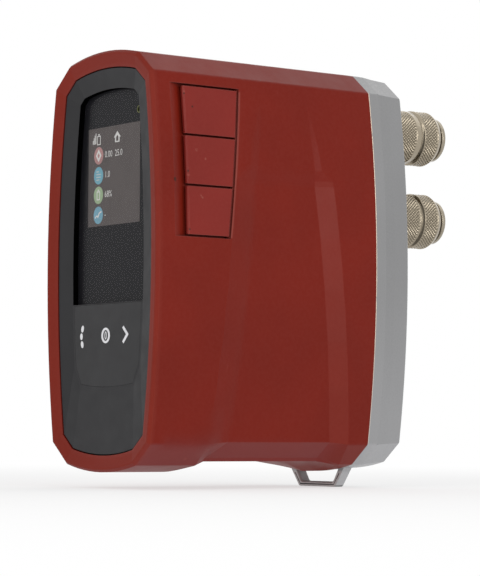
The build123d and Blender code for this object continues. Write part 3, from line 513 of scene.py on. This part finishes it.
def rubber(name, deep, worn_and_lit, specular=0.12, edge_wear_and_highlight=0.7, strips=(), dots=(), nicks=(), soft_slopes=False):
    """Matt red rubber with grain, pale edges that are part rubbing and part painted highlight, painted floor
    light on faces that look down, painted shade in gaps, painted highlight strips, dark dots and pale nicks.
    """
    finish = Finish(name, 0.42, specular=specular)
    blotch = finish.spread(finish.noise(34, 3.0), 0.35, 0.65)
    speck = finish.spread(finish.noise(900, 2.0), 0.4, 0.6)
    tone = finish.blend(blotch, tuple(c * 0.95 for c in deep), tuple(c * 1.06 for c in deep))
    tone = finish.blend(finish.math("MULTIPLY", speck, 0.05), tone, worn_and_lit)
    round_normal = finish.rounded(0.4 * MM)
    soft_normal = softened(finish, round_normal) if soft_slopes else round_normal
    # painted reflection: faces that look down are painted paler, standing for light from the floor
    floor_light = finish.math("MULTIPLY", finish.turned_down(soft_normal, 0.15, 0.7),
                        finish.spread(finish.behind(72, 6), 0, 1, FLOOR_LIGHT_SHARE, 0.1))
    tone = finish.blend(floor_light, tone, FLOOR_LIGHT_RED)
    tone = finish.blend(rub_and_highlight_marks(finish, round_normal, blotch, edge_wear_and_highlight, strips, nicks), tone, worn_and_lit)
    # painted shade: gaps and crevices are painted dark red
    tone = finish.blend(finish.crevice(CREVICE_REACH), tuple(c * 0.5 for c in deep), tone)
    for dot in dots:
        tone = finish.blend(finish.math("MULTIPLY", near_spot(finish, *dot), 0.8), tone, DIRT)
    finish.feed(finish.shader.inputs["Base Color"], tone)
    finish.feed(finish.shader.inputs["Roughness"],
                finish.spread(finish.noise(120, 3.0), 0.3, 0.7, 0.38, 0.46))
    if soft_slopes:
        sheen = finish.spread(finish.behind(0.8, 1.2), 0, 1, specular * FRONT_SHEEN, specular)
        finish.feed(finish.shader.inputs["Specular IOR Level"], sheen)
    grain = finish.math("ADD", finish.noise(3200, 2.0), finish.math("MULTIPLY", finish.noise(420, 2.0), 1.4))
    finish.feed(finish.shader.inputs["Normal"], finish.bump(grain, 0.35, soft_normal))
    return finish


print("rubber recipe is ready")


# %% Rubber on the cover and its flaps
COVER_RED = (0.166, 0.0105, 0.0042)
COVER_WORN_AND_LIT = (0.25, 0.055, 0.042)
FLAP_RED = (0.196, 0.0165, 0.0115)
# strips of painted highlight: strength, depth at the low end, lean, half width, heights, right side only
# painted highlight along the hinge bead beside the flaps
HINGE_HIGHLIGHT_STRIP = (0.7, 28.15, 0.115, 0.35, (74.0, 121.8), True)
# painted highlight along the rear slope of the grip hollow
GRIP_SLOPE_HIGHLIGHT = (0.17, 76.2, -0.11, 3.1, (9.0, 95.0), False)
# spots: height, depth and radius
COVER_DOTS = ((91.7, 7.1, 0.7),)
FLAP_DOTS = ((115.3, 14.9, 0.35), (119.3, 12.0, 0.3), (94.6, 12.0, 0.35), (76.2, 12.2, 0.3))
FLAP_NICKS = ((119.9, 12.1, 0.4), (93.4, 12.1, 0.45), (95.4, 12.3, 0.35), (77.3, 12.2, 0.45),
              (101.5, 15.6, 0.5), (98.9, 18.9, 0.4), (86.5, 17.2, 0.45), (87.1, 16.7, 0.3))
cover_rubber = rubber("cover_rubber", COVER_RED, COVER_WORN_AND_LIT, strips=(HINGE_HIGHLIGHT_STRIP, GRIP_SLOPE_HIGHLIGHT),
                      dots=COVER_DOTS, soft_slopes=True)
flap_rubber = rubber("flap_rubber", FLAP_RED, COVER_WORN_AND_LIT, 0.16, 1.0, dots=FLAP_DOTS, nicks=FLAP_NICKS)
dress(["rubber_cover"], cover_rubber)
dress(["lower_port_flap", "middle_port_flap", "upper_port_flap"], flap_rubber)
print("rubber on the cover and its flaps")


# %% [markdown]
# Moulded plastics
# The bezel, the housing behind it and the keys are moulded. They differ in tone and gloss, and share the
# same spark-eroded grain.

# %% Plastics
UNLIT = (0.001, 0.001, 0.001)


def plastic(name, colour, roughness, grain_per_metre=2600, grain=0.3, specular=0.16, shade_behind=None):
    """Moulded plastic with a fine even grain, painted black behind a given depth, partly as painted shade."""
    finish = Finish(name, roughness, specular=specular)
    tone = finish.spread(finish.noise(60, 3.0), 0.35, 0.65)
    colours = finish.blend(tone, tuple(c * 0.95 for c in colour), tuple(c * 1.05 for c in colour))
    if shade_behind is not None:
        # painted shade: behind the depth the colour is black and the gloss is taken away
        behind = finish.math("GREATER_THAN", finish.along("Y"), shade_behind)
        colours = finish.blend(behind, colours, UNLIT)
        finish.feed(finish.shader.inputs["Specular IOR Level"], finish.spread(behind, 0, 1, specular, 0.0))
    finish.feed(finish.shader.inputs["Base Color"], colours)
    finish.feed(finish.shader.inputs["Roughness"],
                finish.spread(finish.noise(210, 3.0), 0.3, 0.7, roughness - 0.05, roughness + 0.05))
    height = finish.noise(grain_per_metre, 2.0)
    finish.feed(finish.shader.inputs["Normal"], finish.bump(height, grain, finish.rounded(0.25 * MM)))
    return finish


print("plastic recipe is ready")


# %% Plastics on the bezel, the keys and the housing
FIELD_DEPTH = 2.95         # behind this the window opening's wall is painted black, partly its own black and partly painted shade
bezel_plastic = plastic("bezel_plastic", (0.0235, 0.0233, 0.025), 0.5, shade_behind=FRONT + FIELD_DEPTH * MM)
keypad_film = plastic("keypad_film", (0.0255, 0.0253, 0.0268), 0.45, 1800, 0.15)
housing_plastic = plastic("housing_plastic", (0.02, 0.02, 0.021), 0.55)
dress(["front_bezel"], bezel_plastic)
dress(["keypad_membrane"], keypad_film)
dress(["inner_housing", "menu_key", "select_key", "next_key", "lower_probe_socket", "middle_probe_socket"],
      housing_plastic)
print("plastics on the bezel, the keys and the housing")


# %% [markdown]
# Metals
# The rear shell is a casting that was blasted and coated: even, satin and grey. A thin line along the seam
# is painted cream, partly rubbed through to the metal and partly a painted highlight on its edge, and the
# foot and the faces that look down are painted paler as a painted reflection of the floor's light. Its strap
# loop is left as cast, and painted paler as painted light on its shaded faces. The couplings are turned brass
# with a warm nickel plating. All get fine tool or blast marks, slow changes of tone so that the large faces
# stay alive, painted highlights along their edges and painted shade in narrow gaps.

# %% Metal recipe
def metal(name, colour, roughness, lumps, mark_stretch, mark_depth, tone_swing=0.06, extra_tones=None):
    """Plated or blasted metal with marks drawn out along one direction, and tones of its own on top."""
    finish = Finish(name, roughness, metallic=1.0)
    slow = finish.spread(finish.noise(26, 3.0), 0.3, 0.7)
    tone = finish.blend(slow, tuple(c * (1 - tone_swing) for c in colour),
                        tuple(c * (1 + tone_swing) for c in colour))
    round_normal = finish.rounded(0.3 * MM)
    # painted highlight: edges are painted paler
    painted_edge_highlight = finish.math("MULTIPLY", finish.edge(round_normal, 0.15), 0.4)
    tone = finish.blend(painted_edge_highlight, tone, tuple(min(1.0, c * 1.6) for c in colour))
    if extra_tones is not None:
        tone = extra_tones(finish, tone)
    # painted shade: narrow gaps are painted dark
    open_share = finish.crevice(0.8 * MM, 0.25, 0.7)
    finish.feed(finish.shader.inputs["Base Color"],
                finish.blend(open_share, tuple(c * 0.25 for c in colour), tone))
    marks = finish.noise(lumps, 3.0, mark_stretch)
    finish.feed(finish.shader.inputs["Roughness"],
                finish.spread(marks, 0.3, 0.7, roughness - 0.07, roughness + 0.07))
    finish.feed(finish.shader.inputs["Normal"], finish.bump(marks, mark_depth, round_normal))
    return finish


print("metal recipe is ready")


# %% The shell's own tones
# the seam line is painted cream: part bare metal, part painted highlight of the shell's front edge
BARE_EDGE = SEAM + 0.20 * MM
BARE_SIDE = (27.6 * MM, 28.2 * MM)
BARE_METAL_AND_HIGHLIGHT = (0.66, 0.55, 0.44)
FLOOR_REFLECTION_GREY = (0.42, 0.42, 0.43)
FOOT_REFLECTION_SHARE = 0.3            # how much paler the shell is painted towards its foot, a painted reflection of the floor
FOOT_REFLECTION_HEIGHTS = (FOOT + 18 * MM, FOOT + 64 * MM)
# the loop's pale grey is partly painted light on its shaded faces
CAST_LOOP_AND_LIGHT = (0.43, 0.395, 0.39)
LOOP_TOP = (FOOT - 0.6 * MM, FOOT + 0.4 * MM)


def shell_tones(finish, tone):
    """Bare metal and a painted highlight along the seam, a foot and underside painted paler as painted
    reflection of the floor, and a loop left as cast and painted paler as painted light.
    """
    # painted highlight and bare metal along the seam
    near = finish.spread(finish.along("Y"), BARE_EDGE, BARE_EDGE + 0.12 * MM, 1.0, 0.0)
    side = finish.spread(finish.math("ABSOLUTE", finish.along("X"), 0.0), *BARE_SIDE)
    chips = finish.spread(finish.noise(420, 2.0), 0.30, 0.42, 0.35, 1.0)
    bare = finish.math("MULTIPLY", finish.math("MULTIPLY", near, side), chips)
    tone = finish.blend(bare, tone, BARE_METAL_AND_HIGHLIGHT)
    # painted reflection: paler towards the foot, standing for the floor's light
    tone = finish.blend(finish.spread(finish.along("Z"), *FOOT_REFLECTION_HEIGHTS, FOOT_REFLECTION_SHARE, 0.0), tone, FLOOR_REFLECTION_GREY)
    # the loop is less metallic as cast, and painted paler as painted light
    loop_share = finish.spread(finish.along("Z"), *LOOP_TOP, 1.0, 0.0)
    finish.feed(finish.shader.inputs["Metallic"], finish.spread(loop_share, 0.0, 1.0, 1.0, 0.3))
    tone = finish.blend(loop_share, tone, CAST_LOOP_AND_LIGHT)
    # painted reflection: faces that look down are painted paler
    flat = finish.node("ShaderNodeNewGeometry").outputs["Normal"]
    return finish.blend(finish.turned_down(flat, 0.02, 0.6), tone, FLOOR_REFLECTION_GREY)


print("bare edge", round((BARE_EDGE - SEAM) / MM, 2), "mm behind the seam")


# %% Metals on the shell, the couplings and the screws
shell_metal = metal("shell_metal", (0.265, 0.265, 0.268), 0.45, 1500, (1, 1, 1), 0.3, 0.04, shell_tones)
coupling_metal = metal("coupling_metal", (0.34, 0.30, 0.235), 0.2, 900, (1, 0.15, 1), 0.2)
socket_steel = metal("socket_steel", (0.5, 0.5, 0.51), 0.3, 1500, (1, 1, 0.2), 0.2)
screw_steel = metal("screw_steel", (0.42, 0.42, 0.43), 0.35, 1800, (1, 1, 1), 0.2)
COUPLING_PIECES = ("coupling_stem", "coupling_barrel", "retaining_ring", "release_sleeve", "poppet")
dress(["rear_shell", "sensor_manifold"], shell_metal)
for side in ("upper", "lower"):
    dress([f"{side}_{piece}" for piece in COUPLING_PIECES], coupling_metal)
    dress([f"{side}_sleeve_spring", f"{side}_poppet_spring"], screw_steel)
dress(["charging_socket", "pressure_sensor", "bypass_valve"], socket_steel)
dress(["rear_screws", "board_screws", "manifold_screws"], screw_steel)
print("metals on the shell, the couplings and the screws")


# %% [markdown]
# Boards, battery and seals
# These are inside, and show only when a flap is open or down a coupling's mouth. They still have their
# own finish: green lacquer over copper, a blue shrink sleeve, black rubber.

# %% Inner finishes
circuit_board = plastic("circuit_board", (0.02, 0.10, 0.045), 0.35, 700, 0.6)
battery_wrap = plastic("battery_wrap", (0.015, 0.045, 0.14), 0.3, 900, 0.2)
seal_rubber = plastic("seal_rubber", (0.018, 0.018, 0.018), 0.6)
dress(["main_board", "port_board", "key_board"], circuit_board)
dress(["battery_pack"], battery_wrap)
dress(["housing_gasket", "upper_mouth_seal", "lower_mouth_seal"], seal_rubber)
print("inner finishes")


# %% [markdown]
# The window and the display
# The window is a clear lens. Its back is printed black, with an opening for the display and one for the
# status lamp. The display's picture is a brownish grey with a row of round icons down its left side, each
# with a short reading beside it, and a small row of signs above: signal bars, a battery and a house.

# %% Lens, lamp and inks
def clear_lens(name):
    """Clear plastic lens with a trace of haze."""
    finish = Finish(name, 0.04, specular=0.12)
    finish.shader.inputs["Base Color"].default_value = (0.02, 0.02, 0.022, 1)
    finish.shader.inputs["Alpha"].default_value = 0.10
    haze = finish.spread(finish.noise(300, 2.0), 0.3, 0.7, 0.05, 0.10)
    finish.feed(finish.shader.inputs["Roughness"], haze)
    return finish


def ink(name, colour, glow=0.0, roughness=0.5, specular=0.1):
    """Printed ink, or a lit area of the display when it glows."""
    finish = Finish(name, roughness, specular=specular)
    tone = finish.spread(finish.noise(240, 3.0), 0.3, 0.7)
    colours = finish.blend(tone, tuple(c * 0.95 for c in colour), tuple(min(1.0, c * 1.05) for c in colour))
    finish.feed(finish.shader.inputs["Base Color"], colours)
    if glow:
        finish.feed(finish.shader.inputs["Emission Color"], colours)
        finish.shader.inputs["Emission Strength"].default_value = glow
    return finish


window_lens = clear_lens("window_lens")
display_panel = plastic("display_panel", (0.03, 0.03, 0.032), 0.25, 3000, 0.05)
lamp_lens = ink("lamp_lens", (0.12, 0.135, 0.03), 0.15, 0.2, 0.3)
dress(["display_window"], window_lens)
dress(["display_module"], display_panel)
dress(["status_led"], lamp_lens)
print("window and display")


# %% [markdown]
# Printed plates
# Print is a film with an outline and sometimes holes. Each sign is drawn as outlines in millimetres,
# filled with triangles and given the film's thickness. So it is real geometry, sharp at any distance, and
# it needs no picture.

# %% Thin plates
def hull(points):
    """The convex outline round points in a plane, in order."""
    ordered = sorted(set(points))
    halves = []
    for run in (ordered, ordered[::-1]):
        half = []
        for p in run:
            while len(half) > 1 and ((half[-1][0] - half[-2][0]) * (p[1] - half[-2][1])
                                     - (half[-1][1] - half[-2][1]) * (p[0] - half[-2][0])) <= 0:
                half.pop()
            half.append(p)
        halves.append(half[:-1])
    return halves[0] + halves[1]


def finish_piece(name, made, finish, body="case"):
    """Turns a bmesh into a piece with its finish that rides on a body."""
    bmesh.ops.recalc_face_normals(made, faces=made.faces)
    mesh = bpy.data.meshes.new(name)
    made.to_mesh(mesh)
    made.free()
    mesh.materials.append(finish.material)
    piece = bpy.data.objects.new(name, mesh)
    bpy.context.scene.collection.objects.link(piece)
    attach(piece, body)
    return piece


def plate(name, areas, depth, thickness, finish):
    """Thin plates that face the front. Each area is an outline and its holes, as lists of (x, height)."""
    made = bmesh.new()
    for loops in areas:
        edges = []
        for loop in loops:
            corners = [made.verts.new(spot(x, height, depth)) for x, height in loop]
            edges += [made.edges.new(pair) for pair in zip(corners, corners[1:] + corners[:1])]
        bmesh.ops.triangle_fill(made, edges=edges, use_beauty=True)
    grown = bmesh.ops.extrude_face_region(made, geom=made.faces[:])
    moved = [v for v in grown["geom"] if isinstance(v, bmesh.types.BMVert)]
    bmesh.ops.translate(made, verts=moved, vec=(0, thickness * MM, 0))
    return finish_piece(name, made, finish)


def oval(x, height, wide, tall, lean=0.0, steps=28):
    """Points of an ellipse with its half axes, leaning by an angle in degrees."""
    turn = math.radians(lean)
    points = []
    for i in range(steps):
        angle = 2 * math.pi * i / steps
        across, up = wide * math.cos(angle), tall * math.sin(angle)
        points.append((x + across * math.cos(turn) - up * math.sin(turn),
                       height + across * math.sin(turn) + up * math.cos(turn)))
    return points


def box_loop(x_range, height_range):
    """Corners of an upright rectangle."""
    (left, right), (low, top) = x_range, height_range
    return [(left, low), (right, low), (right, top), (left, top)]


def stroke(points, width):
    """An area that follows a line of points with a width."""
    left, right = [], []
    for i, p in enumerate(points):
        before, after = points[max(i - 1, 0)], points[min(i + 1, len(points) - 1)]
        along = Vector((after[0] - before[0], after[1] - before[1])).normalized()
        reach = width / 2
        if 0 < i < len(points) - 1:
            first = Vector((p[0] - before[0], p[1] - before[1])).normalized()
            reach /= max(0.35, along.dot(first))
        left.append((p[0] - along.y * reach, p[1] + along.x * reach))
        right.append((p[0] + along.y * reach, p[1] - along.x * reach))
    return [left + right[::-1]]


print("helpers for printed pieces are ready")


# %% The black print behind the lens
WINDOW_DEPTH = (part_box("display_window")[0].y - FRONT) / MM
PRINT_DEPTH = WINDOW_DEPTH + 0.25
PICTURE_DEPTH = WINDOW_DEPTH + 0.20
SIGN_DEPTH = WINDOW_DEPTH + 0.17
MARK_DEPTH = SIGN_DEPTH - 0.03
FILM = 0.02
SCREEN_X = (-15.03, 15.03)
SCREEN_HEIGHT = (79.4, 111.4)
SCREEN = box_loop(SCREEN_X, SCREEN_HEIGHT)
LAMP = (14.3, 115.3)
LAMP_RADIUS = 1.25
window_corners = [(v.co.x / MM, (v.co.z - FOOT) / MM) for v in nodes["display_window"].data.vertices]
window_outline = hull([(round(x, 3), round(height, 3)) for x, height in window_corners])
middle_height = sum(height for _, height in window_outline) / len(window_outline)
PRINT_SHARE = 0.985
print_outline = [(x * PRINT_SHARE, middle_height + (height - middle_height) * PRINT_SHARE)
                 for x, height in window_outline]
black_ink = ink("window_black", (0.0095, 0.0093, 0.0115), roughness=0.35)
lamp_hole = oval(*LAMP, LAMP_RADIUS, LAMP_RADIUS)
plate("window_print", [[print_outline, SCREEN, lamp_hole]], PRINT_DEPTH, FILM, black_ink)
print("print behind the window")

# %% The display's picture
picture_ink = ink("picture_ground", (0.080, 0.069, 0.067), 0.25, 0.3)
plate("screen_picture", [[SCREEN]], PICTURE_DEPTH, FILM, picture_ink)
ICON_X = -9.0
ICON_RADIUS = (2.72, 2.85)   # half width and half height
ICONS = {
    "icon_medium": (102.4, (0.33, 0.185, 0.18)),
    "icon_report": (95.9, (0.135, 0.30, 0.37)),
    "icon_charge": (89.5, (0.25, 0.33, 0.21)),
    "icon_trend": (83.0, (0.145, 0.29, 0.37)),
}
for icon_name, (icon_height, icon_colour) in ICONS.items():
    plate(icon_name, [[oval(ICON_X, icon_height, *ICON_RADIUS)]], SIGN_DEPTH, FILM,
          ink(icon_name, icon_colour, 0.25, 0.3))
print("picture with", len(ICONS), "icons")

# %% Signs in the icons
sign_ink = ink("screen_signs", (0.50, 0.49, 0.48), 0.3, 0.3)
dim_ink = ink("screen_dim_signs", (0.36, 0.40, 0.40), 0.2, 0.3)
medium, report, charge, trend = (ICONS[name][0] for name in ICONS)
diamond = [(ICON_X, medium + 2.1), (ICON_X + 1.6, medium), (ICON_X, medium - 2.1), (ICON_X - 1.6, medium)]
signs = [[diamond, [(ICON_X + (x - ICON_X) * 0.45, medium + (h - medium) * 0.45) for x, h in diamond[::-1]]]]
charge_box = box_loop((ICON_X - 0.95, ICON_X + 0.95), (charge - 1.6, charge + 1.3))
charge_hole = box_loop((ICON_X - 0.6, ICON_X + 0.6), (charge - 1.25, charge + 0.95))
signs += [[charge_box, charge_hole], [box_loop((ICON_X - 0.4, ICON_X + 0.4), (charge + 1.45, charge + 1.85))]]
signs += [stroke([(ICON_X - 1.9, trend - 0.9), (ICON_X - 0.9, trend - 0.2), (ICON_X - 0.2, trend - 0.6),
                  (ICON_X + 0.7, trend + 0.7), (ICON_X + 1.9, trend + 1.1)], 0.42)]
lines = [[box_loop((ICON_X - 1.3, ICON_X + width), (report + step, report + step + 0.38))]
         for step, width in ((1.1, 0.2), (0.2, 1.3), (-0.7, 1.3), (-1.6, 0.6))]
print("signs in the icons", len(signs), "and lines", len(lines))

# %% The row of signs above the icons
BAR_FOOT = 106.3
for i, length in enumerate((1.28, 2.08, 2.88, 3.52)):
    left = -12.5 + i * 0.55
    signs.append([box_loop((left, left + 0.36), (BAR_FOOT, BAR_FOOT + length))])
battery = box_loop((-9.9, -7.9), (105.9, 108.9))
battery_hole = box_loop((-9.6, -8.2), (106.2, 108.6))
battery_cap = box_loop((-9.3, -8.5), (109.0, 109.5))
house = [(0.6, 105.9), (3.2, 105.9), (3.2, 107.5), (3.9, 107.5), (1.9, 109.5), (-0.1, 107.5), (0.6, 107.5)]
door = [(1.2, 106.3), (2.6, 106.3), (2.6, 107.5), (1.9, 108.3), (1.2, 107.5)]
signs += [[battery, battery_hole], [battery_cap], [house, door]]
plate("screen_signs", signs, MARK_DEPTH, FILM, sign_ink)
plate("report_lines", lines, MARK_DEPTH, FILM, dim_ink)
print("signs on the display", len(signs))


# %% Readings on the display
LETTER_WIDTH = 0.86
LETTER_SIZE = 3.0


def reading(name, words, x, height, size, finish):
    """A short number in flat letters, its left foot at a place."""
    curve = bpy.data.curves.new(name, "FONT")
    curve.body = words
    curve.size = size * MM
    curve.resolution_u = 2
    holder = bpy.data.objects.new(name, curve)
    bpy.context.scene.collection.objects.link(holder)
    bpy.context.view_layer.update()
    mesh = bpy.data.meshes.new_from_object(holder)
    bpy.data.objects.remove(holder)
    start = spot(x, height, MARK_DEPTH)
    for vertex in mesh.vertices:
        vertex.co = (start.x + vertex.co.x * LETTER_WIDTH, start.y, start.z + vertex.co.y)
    mesh.materials.clear()
    mesh.materials.append(finish.material)
    piece = bpy.data.objects.new(name, mesh)
    bpy.context.scene.collection.objects.link(piece)
    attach(piece, "case")
    return piece


READINGS = (("reading_pressure", "0.00  25.0", medium), ("reading_report", "1.0", report),
            ("reading_charge", "68%", charge), ("reading_trend", "-", trend))
for reading_name, words, reading_height in READINGS:
    reading(reading_name, words, ICON_X + 3.7, reading_height - 0.9, LETTER_SIZE, sign_ink)
print("readings", len(READINGS))

# %% The lamp's ring
lamp_ring = ink("lamp_ring", (0.12, 0.125, 0.045), 0.10, 0.3)
plate("status_ring", [[lamp_hole, oval(*LAMP, 0.85, 0.85)]], PRINT_DEPTH - 0.05, FILM, lamp_ring)
print("ring round the status lamp")


# %% [markdown]
# Printed symbols on the keys
# Three white symbols are printed on the membrane: a bracket of three pills, a ring with an upright oval
# in it and an arrowhead. They are a hair thicker than the film, as screen print is.

# %% Key symbols
white_ink = ink("key_print", (0.70, 0.70, 0.72), roughness=0.4)
KEY_FRONT = (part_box("keypad_membrane")[0].y - FRONT) / MM
PRINT = 0.03
KEY_LINE = 43.7            # height of the symbols' middle
RING_X = -0.8
SYMBOLS = {
    "menu_symbol": [[oval(-14.5, 46.15, 0.78, 1.15, -18)],
                    [oval(-15.15, KEY_LINE, 0.78, 1.1)],
                    [oval(-14.65, 41.1, 0.78, 1.15, 16)]],
    "select_symbol": [[oval(RING_X, KEY_LINE, 2.5, 2.5, steps=40),
                       oval(RING_X, KEY_LINE, 1.45, 1.75, steps=40)],
                      [oval(RING_X, KEY_LINE, 0.62, 1.3), oval(RING_X, KEY_LINE, 0.28, 0.95)]],
    "next_symbol": [stroke([(9.2, 46.2), (11.7, 43.75), (9.2, 41.2)], 1.0)],
}
for symbol_name, symbol in SYMBOLS.items():
    plate(symbol_name, symbol, KEY_FRONT - PRINT, PRINT, white_ink)
print("key symbols", len(SYMBOLS))


# %% [markdown]
# The strap loop's groove
# The loop's front face has a fine groove that follows its outer edge, left by the mould. Its shade is painted
# on as a thin dark strip.

# %% Painted shade of the groove on the loop
LOOP_DEPTH = (SEAM - FRONT) / MM + 0.8
loop_shade = ink("loop_shade", (0.035, 0.03, 0.032), roughness=0.6)
plate("loop_groove_shade", [stroke([(-12.1, -0.6), (-9.1, -4.45), (9.1, -4.45), (12.1, -0.6)], 0.32)],
      LOOP_DEPTH - FILM, FILM, loop_shade)
print("groove on the strap loop")


# %% [markdown]
# Knurled sleeves
# Each coupling's sleeve is turned and then knurled in two bands on either side of a vee groove. A knurl
# is too fine for the solids, so each sleeve is lathed here with its real diamonds and stands in for the
# plain one. The upper sleeve is smooth for a stretch before the groove, the lower one is knurled nearly
# up to it.

# %% Knurled metal
KNURL_TONE = (0.50, 0.43, 0.325)
PIT_SHADE = 0.42           # how dark the painted shade in the bottoms of the knurl is


def knurl_tones(finish, tone):
    """Painted shade in the pits, which the lathe below marks on the mesh."""
    pit = finish.node("ShaderNodeAttribute", attribute_name="pit").outputs["Fac"]
    return finish.blend(finish.spread(pit, 0.15, 0.75), tone, tuple(c * PIT_SHADE for c in KNURL_TONE))


knurl_metal = metal("knurl_metal", KNURL_TONE, 0.24, 900, (1, 0.15, 1), 0.15, extra_tones=knurl_tones)
print("knurled metal, its pits at", PIT_SHADE, "of its tone")


# %% Lathed sleeves
COLUMNS = 108              # two to a diamond
ROW = 0.64                 # half a diamond's length
KNURL_DEPTH = 0.36
CREASE = math.radians(25)  # a sharper turn than this stays an edge
PLAIN_SHADE = 0.45         # smooth stretches get part of the painted shade, so they are a little darker than the diamonds' tips


def knurl_rows(start, end, radius):
    """Rows of a knurled band as (distance, radius, knurled)."""
    count = max(2, round((end - start) / ROW))
    step = (end - start) / count
    return [(start + step * i, radius, 0 < i < count) for i in range(count + 1)]


def plain_rows(*pairs):
    """Rows of a smooth stretch in the same form."""
    return [(distance, radius, False) for distance, radius in pairs]


def sleeve_rows(knurl_stop):
    """The sleeve's outline from its hidden end to its mouth and back through the bore."""
    rows = plain_rows((8.5, 8.1), (8.5, 8.6), (8.8, 8.9), (12.4, 8.9), (12.85, 9.15))
    rows += knurl_rows(13.0, knurl_stop, 9.3)
    rows += plain_rows((knurl_stop + 0.25, 9.22), (24.55, 9.22), (24.9, 9.05), (25.2, 8.4), (25.5, 8.4),
                       (25.75, 9.2), (25.95, 9.45))
    rows += knurl_rows(26.15, 32.0, 9.6)
    rows += plain_rows((32.2, 9.5), (33.2, 9.0), (34.0, 8.45), (34.2, 8.2), (34.2, 7.1), (35.1, 7.0),
                       (35.1, 6.46), (22.0, 6.46), (22.0, 8.1))
    return rows


def lathed_sleeve(side, knurl_stop):
    """A knurled sleeve that stands for the plain one."""
    node = f"{side}_release_sleeve"
    low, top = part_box(node)
    axis_x, axis_z = (low.x + top.x) / 2, (low.z + top.z) / 2
    rows = sleeve_rows(knurl_stop)
    made = bmesh.new()
    depth_mark = made.verts.layers.float.new("pit")
    rings = []
    for j, (distance, radius, knurled) in enumerate(rows):
        ring_verts = []
        for i in range(COLUMNS):
            angle = 2 * math.pi * i / COLUMNS
            pit = knurled and (i + j) % 2 == 1
            r = (radius - (KNURL_DEPTH if pit else 0.0)) * MM
            corner = made.verts.new((axis_x + r * math.cos(angle), BACK + distance * MM,
                                     axis_z + r * math.sin(angle)))
            corner[depth_mark] = 1.0 if pit else 0.0 if knurled else PLAIN_SHADE
            ring_verts.append(corner)
        rings.append(ring_verts)
    for j in range(len(rows)):
        here, there = rings[j], rings[(j + 1) % len(rows)]
        knurled = rows[j][2] or rows[(j + 1) % len(rows)][2]
        for i in range(COLUMNS):
            n = (i + 1) % COLUMNS
            a, b, c, d = here[i], here[n], there[n], there[i]
            if not knurled:
                made.faces.new((a, b, c, d)).smooth = True
            elif (i + j) % 2 == 0:
                made.faces.new((a, b, d))
                made.faces.new((b, c, d))
            else:
                made.faces.new((a, b, c))
                made.faces.new((a, c, d))
    for edge in made.edges:
        if len(edge.link_faces) == 2 and edge.calc_face_angle(0.0) > CREASE:
            edge.smooth = False
    piece = finish_piece(f"{side}_knurled_sleeve", made, knurl_metal, f"{side}_sleeve")
    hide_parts(node)
    return piece


KNURL_STOPS = {"upper": 22.6, "lower": 24.2}   # where the rear band of each sleeve ends
for side, stop in KNURL_STOPS.items():
    lathed_sleeve(side, stop)
print("knurled sleeves", sorted(KNURL_STOPS))


# %% [markdown]
# Coil springs
# Two springs lie in each coupling: a wide one under the sleeve and a narrow one behind the valve. They
# are wound here from round wire and stand for the plain ones.

# %% Wound springs
TURN_STEPS = 28
WIRE_STEPS = 10


def wound_spring(name, node, turns, wire):
    """A spring of round wire in the place of a plain one."""
    low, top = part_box(node)
    axis_x, axis_z = (low.x + top.x) / 2, (low.z + top.z) / 2
    coil_radius = (top.x - low.x) / 2 - wire
    made = bmesh.new()
    rings = []
    steps = turns * TURN_STEPS
    for i in range(steps + 1):
        angle = 2 * math.pi * i / TURN_STEPS
        out = Vector((math.cos(angle), 0, math.sin(angle)))
        along = low.y + wire + (top.y - low.y - 2 * wire) * i / steps
        centre = Vector((axis_x, along, axis_z)) + out * coil_radius
        ring_verts = []
        for k in range(WIRE_STEPS):
            turn = 2 * math.pi * k / WIRE_STEPS
            round_wire = out * wire * math.cos(turn) + Vector((0, wire * math.sin(turn), 0))
            ring_verts.append(made.verts.new(centre + round_wire))
        rings.append(ring_verts)
    for here, there in zip(rings[:-1], rings[1:]):
        for k in range(WIRE_STEPS):
            n = (k + 1) % WIRE_STEPS
            made.faces.new((here[k], here[n], there[n], there[k])).smooth = True
    made.faces.new(rings[0])
    made.faces.new(rings[-1])
    piece = finish_piece(name, made, screw_steel)
    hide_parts(node)
    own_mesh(piece)
    return piece


COILS = {"sleeve": (4, 0.45 * MM), "poppet": (3, 0.35 * MM)}   # turns and half the wire's thickness
for side in ("upper", "lower"):
    for part, (turns, wire) in COILS.items():
        wound_spring(f"{side}_{part}_coil", f"{side}_{part}_spring", turns, wire)
print("wound springs", 2 * len(COILS))
